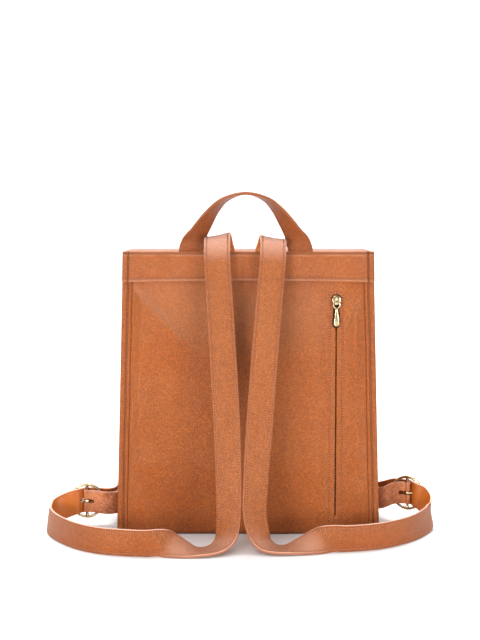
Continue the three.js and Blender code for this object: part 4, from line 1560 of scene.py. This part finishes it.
def round_rim(sheet, width):
    """Rounds the sheet's rim, except where the two parts of the flap meet."""
    work = bmesh.new()
    work.from_mesh(sheet.data)
    sharp = [e for e in work.edges if e.is_manifold and e.calc_face_angle() > math.radians(60)]
    rim = [e for e in sharp if any(abs(v.co.y - CROWN_SPLIT) >= 0.01 * MM for v in e.verts)]
    settings = {"segments": 3, "profile": 0.5, "affect": "EDGES", "clamp_overlap": True}
    bmesh.ops.bevel(work, geom=rim, offset=width, **settings)
    work.to_mesh(sheet.data)
    work.free()
    return sheet


def crown_path(t, share):
    """From the back edge of the bag to where the other mesh takes over."""
    x = share * FLAP_HALF
    y = CROWN_BACK + (CROWN_SPLIT - CROWN_BACK) * t
    z = crown_height(x, y)
    z -= 1.6 * MM * smooth(y, CROWN_BACK + 3 * MM, CROWN_BACK)
    return x, y, z, 0.0, 1.0


def drape_path(t, share):
    """Across the front half of the top, round the fold and down the front."""
    s = t * (TOP_RUN + FOLD_RUN + HANG)
    lean = (FRONT_BASE - FRONT_TOP) / HEIGHT
    x = share * FLAP_HALF
    if s < TOP_RUN:
        y = CROWN_SPLIT + s
        return x, y, crown_height(x, y), 0.0, 1.0
    base = crown_height(x, CROWN_SPLIT + TOP_RUN) - FOLD_RADIUS
    if s < TOP_RUN + FOLD_RUN:
        angle = (s - TOP_RUN) / FOLD_RADIUS
        y = CROWN_SPLIT + TOP_RUN + FOLD_RADIUS * math.sin(angle)
        return x, y, base + FOLD_RADIUS * math.cos(angle), math.sin(angle), math.cos(angle)
    down = s - TOP_RUN - FOLD_RUN
    left = HANG - down
    if left < FLAP_CORNER:
        rounded = math.sqrt(max(0.0, FLAP_CORNER**2 - (FLAP_CORNER - left) ** 2))
        x = share * (FLAP_HALF - FLAP_CORNER + rounded)
    z = base + (drape_low.z - base) * (down / HANG)
    y = CROWN_SPLIT + TOP_RUN + FOLD_RADIUS + lean * down
    settled = smooth(down, 0, 40 * MM)
    y += 0.9 * MM * wave(x, 2, z * 0.5, 60 * MM, 7.0) * settled
    y += 1.2 * MM * (1 - bump(share, 0, 1.0)) * settled
    return x, y, z, 1.0, lean


def flap_stitches():
    """Lines of stitches beside the edges of the flap's front leaf."""
    near_side = 1 - 4 * MM / FLAP_HALF
    sides = [[(0.02 + 0.9 * k / 89, side * near_side) for k in range(90)] for side in (-1, 1)]
    low = [(0.972, -0.9 + 1.8 * k / 149) for k in range(150)]
    lines = []
    for spots in (*sides, low):
        line = []
        for t, share in spots:
            x, y, z, oy, oz = drape_path(t, share)
            line.append((np.array((x, y + oy * 0.05 * MM, z)), np.array((0, oy, oz))))
        lines.append(line)
    return lines


def make_flap():
    """The flap's crown, which bends at the back edge, and its drape, bending at the front one."""
    crown = flap_sheet("flap_crown", crown_path, 30)
    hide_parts("flap_top")
    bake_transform(crown)
    drape = flap_sheet("flap_drape", drape_path, 110)
    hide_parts("flap_front")
    stitches = make_stitches("flap_stitches", flap_stitches(), thread)
    for part in (drape, stitches):
        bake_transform(part)


AXIS = 0.1 * MM  # radius at which a turned piece ends beside its axis


def turned(name, outline, z):
    """A round brass piece about the Y direction at height z, from (radius, y) pairs."""
    made = piece(name, *revolve(outline, 48), brass)
    made.data.transform(Matrix.Translation((0, 0, z)))
    return made


def make_snap():
    """A domed cap on the flap over the two halves of the snap behind it."""
    cap_low, cap_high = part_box("snap_cap")
    base_low, base_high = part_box("snap_base")
    z = (cap_low.z + cap_high.z) / 2
    radius = (cap_high.x - cap_low.x) / 2
    for name, node, y0, y1, body in (
        ("snap_socket", "snap_cap", cap_low.y + 0.3 * MM, cap_high.y - 0.3 * MM, "flap_front"),
        ("snap_stud", "snap_base", base_low.y + 0.2 * MM, base_high.y - 0.3 * MM, "bag"),
    ):
        outline = [(AXIS, y0), (radius * 0.9, y0), (radius, y0 + 0.3 * MM), (radius, y1 - 0.3 * MM)]
        outline += [(radius * 0.92, y1), (radius * 0.5, y1), (AXIS, y1)]
        belong(turned(name, outline, z), "brass", body, node)
    face = drape_path(0.86, 0)[1]
    outline = [(AXIS, face - 1.0 * MM), (7.2 * MM, face - 1.0 * MM), (7.4 * MM, face + 0.5 * MM)]
    outline += [(6.4 * MM, face + 1.3 * MM), (4.0 * MM, face + 2.0 * MM), (AXIS, face + 2.3 * MM)]
    belong(turned("snap_dome", outline, z), "brass", "flap_front")


make_flap()
make_snap()

# ---- inside ----------------------------------------------------------------------------------


LINING_GAP = 3.4 * MM  # from the outer face of the leather


def lining_ring(z, inset):
    """One level of the lining: a square with round corners, loose and pulled in at its sides."""
    half = half_width(z) - LINING_GAP - inset
    near, far = lining_low.y + inset, front_face(z) - LINING_GAP - inset
    ring = []
    for angle in turns(160):
        c, s = math.cos(angle), math.sin(angle)
        size = (abs(c) ** 12 + abs(s) ** 12) ** (-1 / 12)
        x, y = half * c * size, (near + far) / 2 + (far - near) / 2 * s * size
        loose = 1.4 * (0.5 + 0.5 * wave(x, y, z, 30 * MM, 1.9))
        loose += 0.5 * (0.5 + wave(x, y, z, 11 * MM, 4.9))
        at_side = abs(c * size) ** 6 * (1 - abs(s * size) ** 4)
        pull = 7 * math.sin(math.pi * min(1, z / HEIGHT)) * at_side
        x -= math.copysign(loose + pull, c) * MM * abs(c)
        ring.append((x, y - math.copysign(loose, s) * MM * abs(s), z))
    return ring


def make_lining():
    """A loose cloth bag inside the leather one, with its own thickness."""
    low, high = lining_low.z, HEIGHT - 2.2 * MM
    rows = 70

    def floor(inset, z, shares):
        """Rings that close the bag's bottom."""
        edge = lining_ring(low + 1 * MM, inset)
        return [[(p[0] * share, p[1] * share, z) for p in edge] for share in shares]

    def wall(start, inset, row_numbers):
        return [lining_ring(start + (high - start) * r / rows, inset) for r in row_numbers]

    rings = floor(2 * MM, low, (0.05, 0.5, 0.97))
    rings += wall(low + 1.5 * MM, 0, range(rows + 1))
    rings += wall(low + 2.4 * MM, 0.8 * MM, range(rows, -1, -2))
    rings += floor(2.8 * MM, low + 1 * MM, (0.97, 0.5, 0.05))
    belong(piece("lining_bag", *loft(rings), cloth), "lining_cloth", "bag", "lining")


make_lining()
dress(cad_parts["base_board"], board)
dress(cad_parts["zip_pocket_pouch"], cloth)

# ---- studio ----------------------------------------------------------------------------------


def make_stage():
    """A pale floor that curves up into a backdrop."""
    material, _, shader, _ = nodes_of("studio_paper")
    shader.inputs["Base Color"].default_value = (0.8, 0.8, 0.8, 1)
    shader.inputs["Roughness"].default_value = 0.9
    shader.inputs["Specular IOR Level"].default_value = 0.1
    start, radius = 1.6, 1.2  # of the curve between floor and backdrop
    profile = [(-4.0, 0.0), (start, 0.0)]
    for k in range(1, 13):
        angle = math.radians(90 * k / 12)
        profile.append((start + radius * math.sin(angle), radius - radius * math.cos(angle)))
    profile.append((start + radius, 5.0))
    points = [(x, y, z) for x in (-5.0, 5.0) for y, z in profile]
    n = len(profile)
    faces = [(k, n + k, n + k + 1, k + 1) for k in range(n - 1)]
    piece("studio_sweep", points, faces, material)


def area_light(name, place, target, size, power):
    """A soft white light at place that faces target."""
    data = bpy.data.lights.new(name, "AREA")
    data.shape = "RECTANGLE"
    data.size, data.size_y = size
    data.energy = power
    lamp = bpy.data.objects.new(name, data)
    lamp.location = place
    direction = Vector(target) - Vector(place)
    lamp.rotation_euler = direction.to_track_quat("-Z", "Y").to_euler()
    bpy.context.scene.collection.objects.link(lamp)


def make_world():
    """White all round, except for a darker patch behind the camera that metal can reflect."""
    world = bpy.data.worlds.new("studio")
    world.use_nodes = True
    tree = world.node_tree
    direction = tree.nodes.new("ShaderNodeTexCoord").outputs["Generated"]
    facing = tree.nodes.new("ShaderNodeVectorMath")
    facing.operation = "DOT_PRODUCT"
    tree.links.new(direction, facing.inputs[0])
    facing.inputs[1].default_value = (0.0, -0.995, -0.1)
    shade = ramp(tree, facing.outputs["Value"], ((0.8, 1.0), (0.94, 0.25)))
    background = tree.nodes["Background"]
    tree.links.new(shade, background.inputs["Color"])
    background.inputs["Strength"].default_value = 0.5
    bpy.context.scene.world = world


def make_studio():
    """Soft light from behind, above and both sides, with no hard shadow."""
    make_stage()
    make_world()
    area_light("backdrop_light", (0, 0.9, 2.6), (0, 2.6, 1.2), (3.0, 1.0), 110)
    area_light("overhead", (-0.1, 0.35, 1.8), (0, -0.05, 0.1), (1.3, 0.8), 32)
    area_light("key", (-0.45, -1.75, 1.35), (0, 0, 0.15), (1.5, 0.8), 18)
    area_light("left_softbox", (-1.0, -1.6, 0.2), (0, 0, 0.02), (1.0, 0.4), 26)
    area_light("right_fill", (1.2, -1.5, 0.2), (0, 0, 0.02), (1.0, 0.4), 24)
    bpy.context.scene.view_settings.view_transform = "Standard"


make_studio()
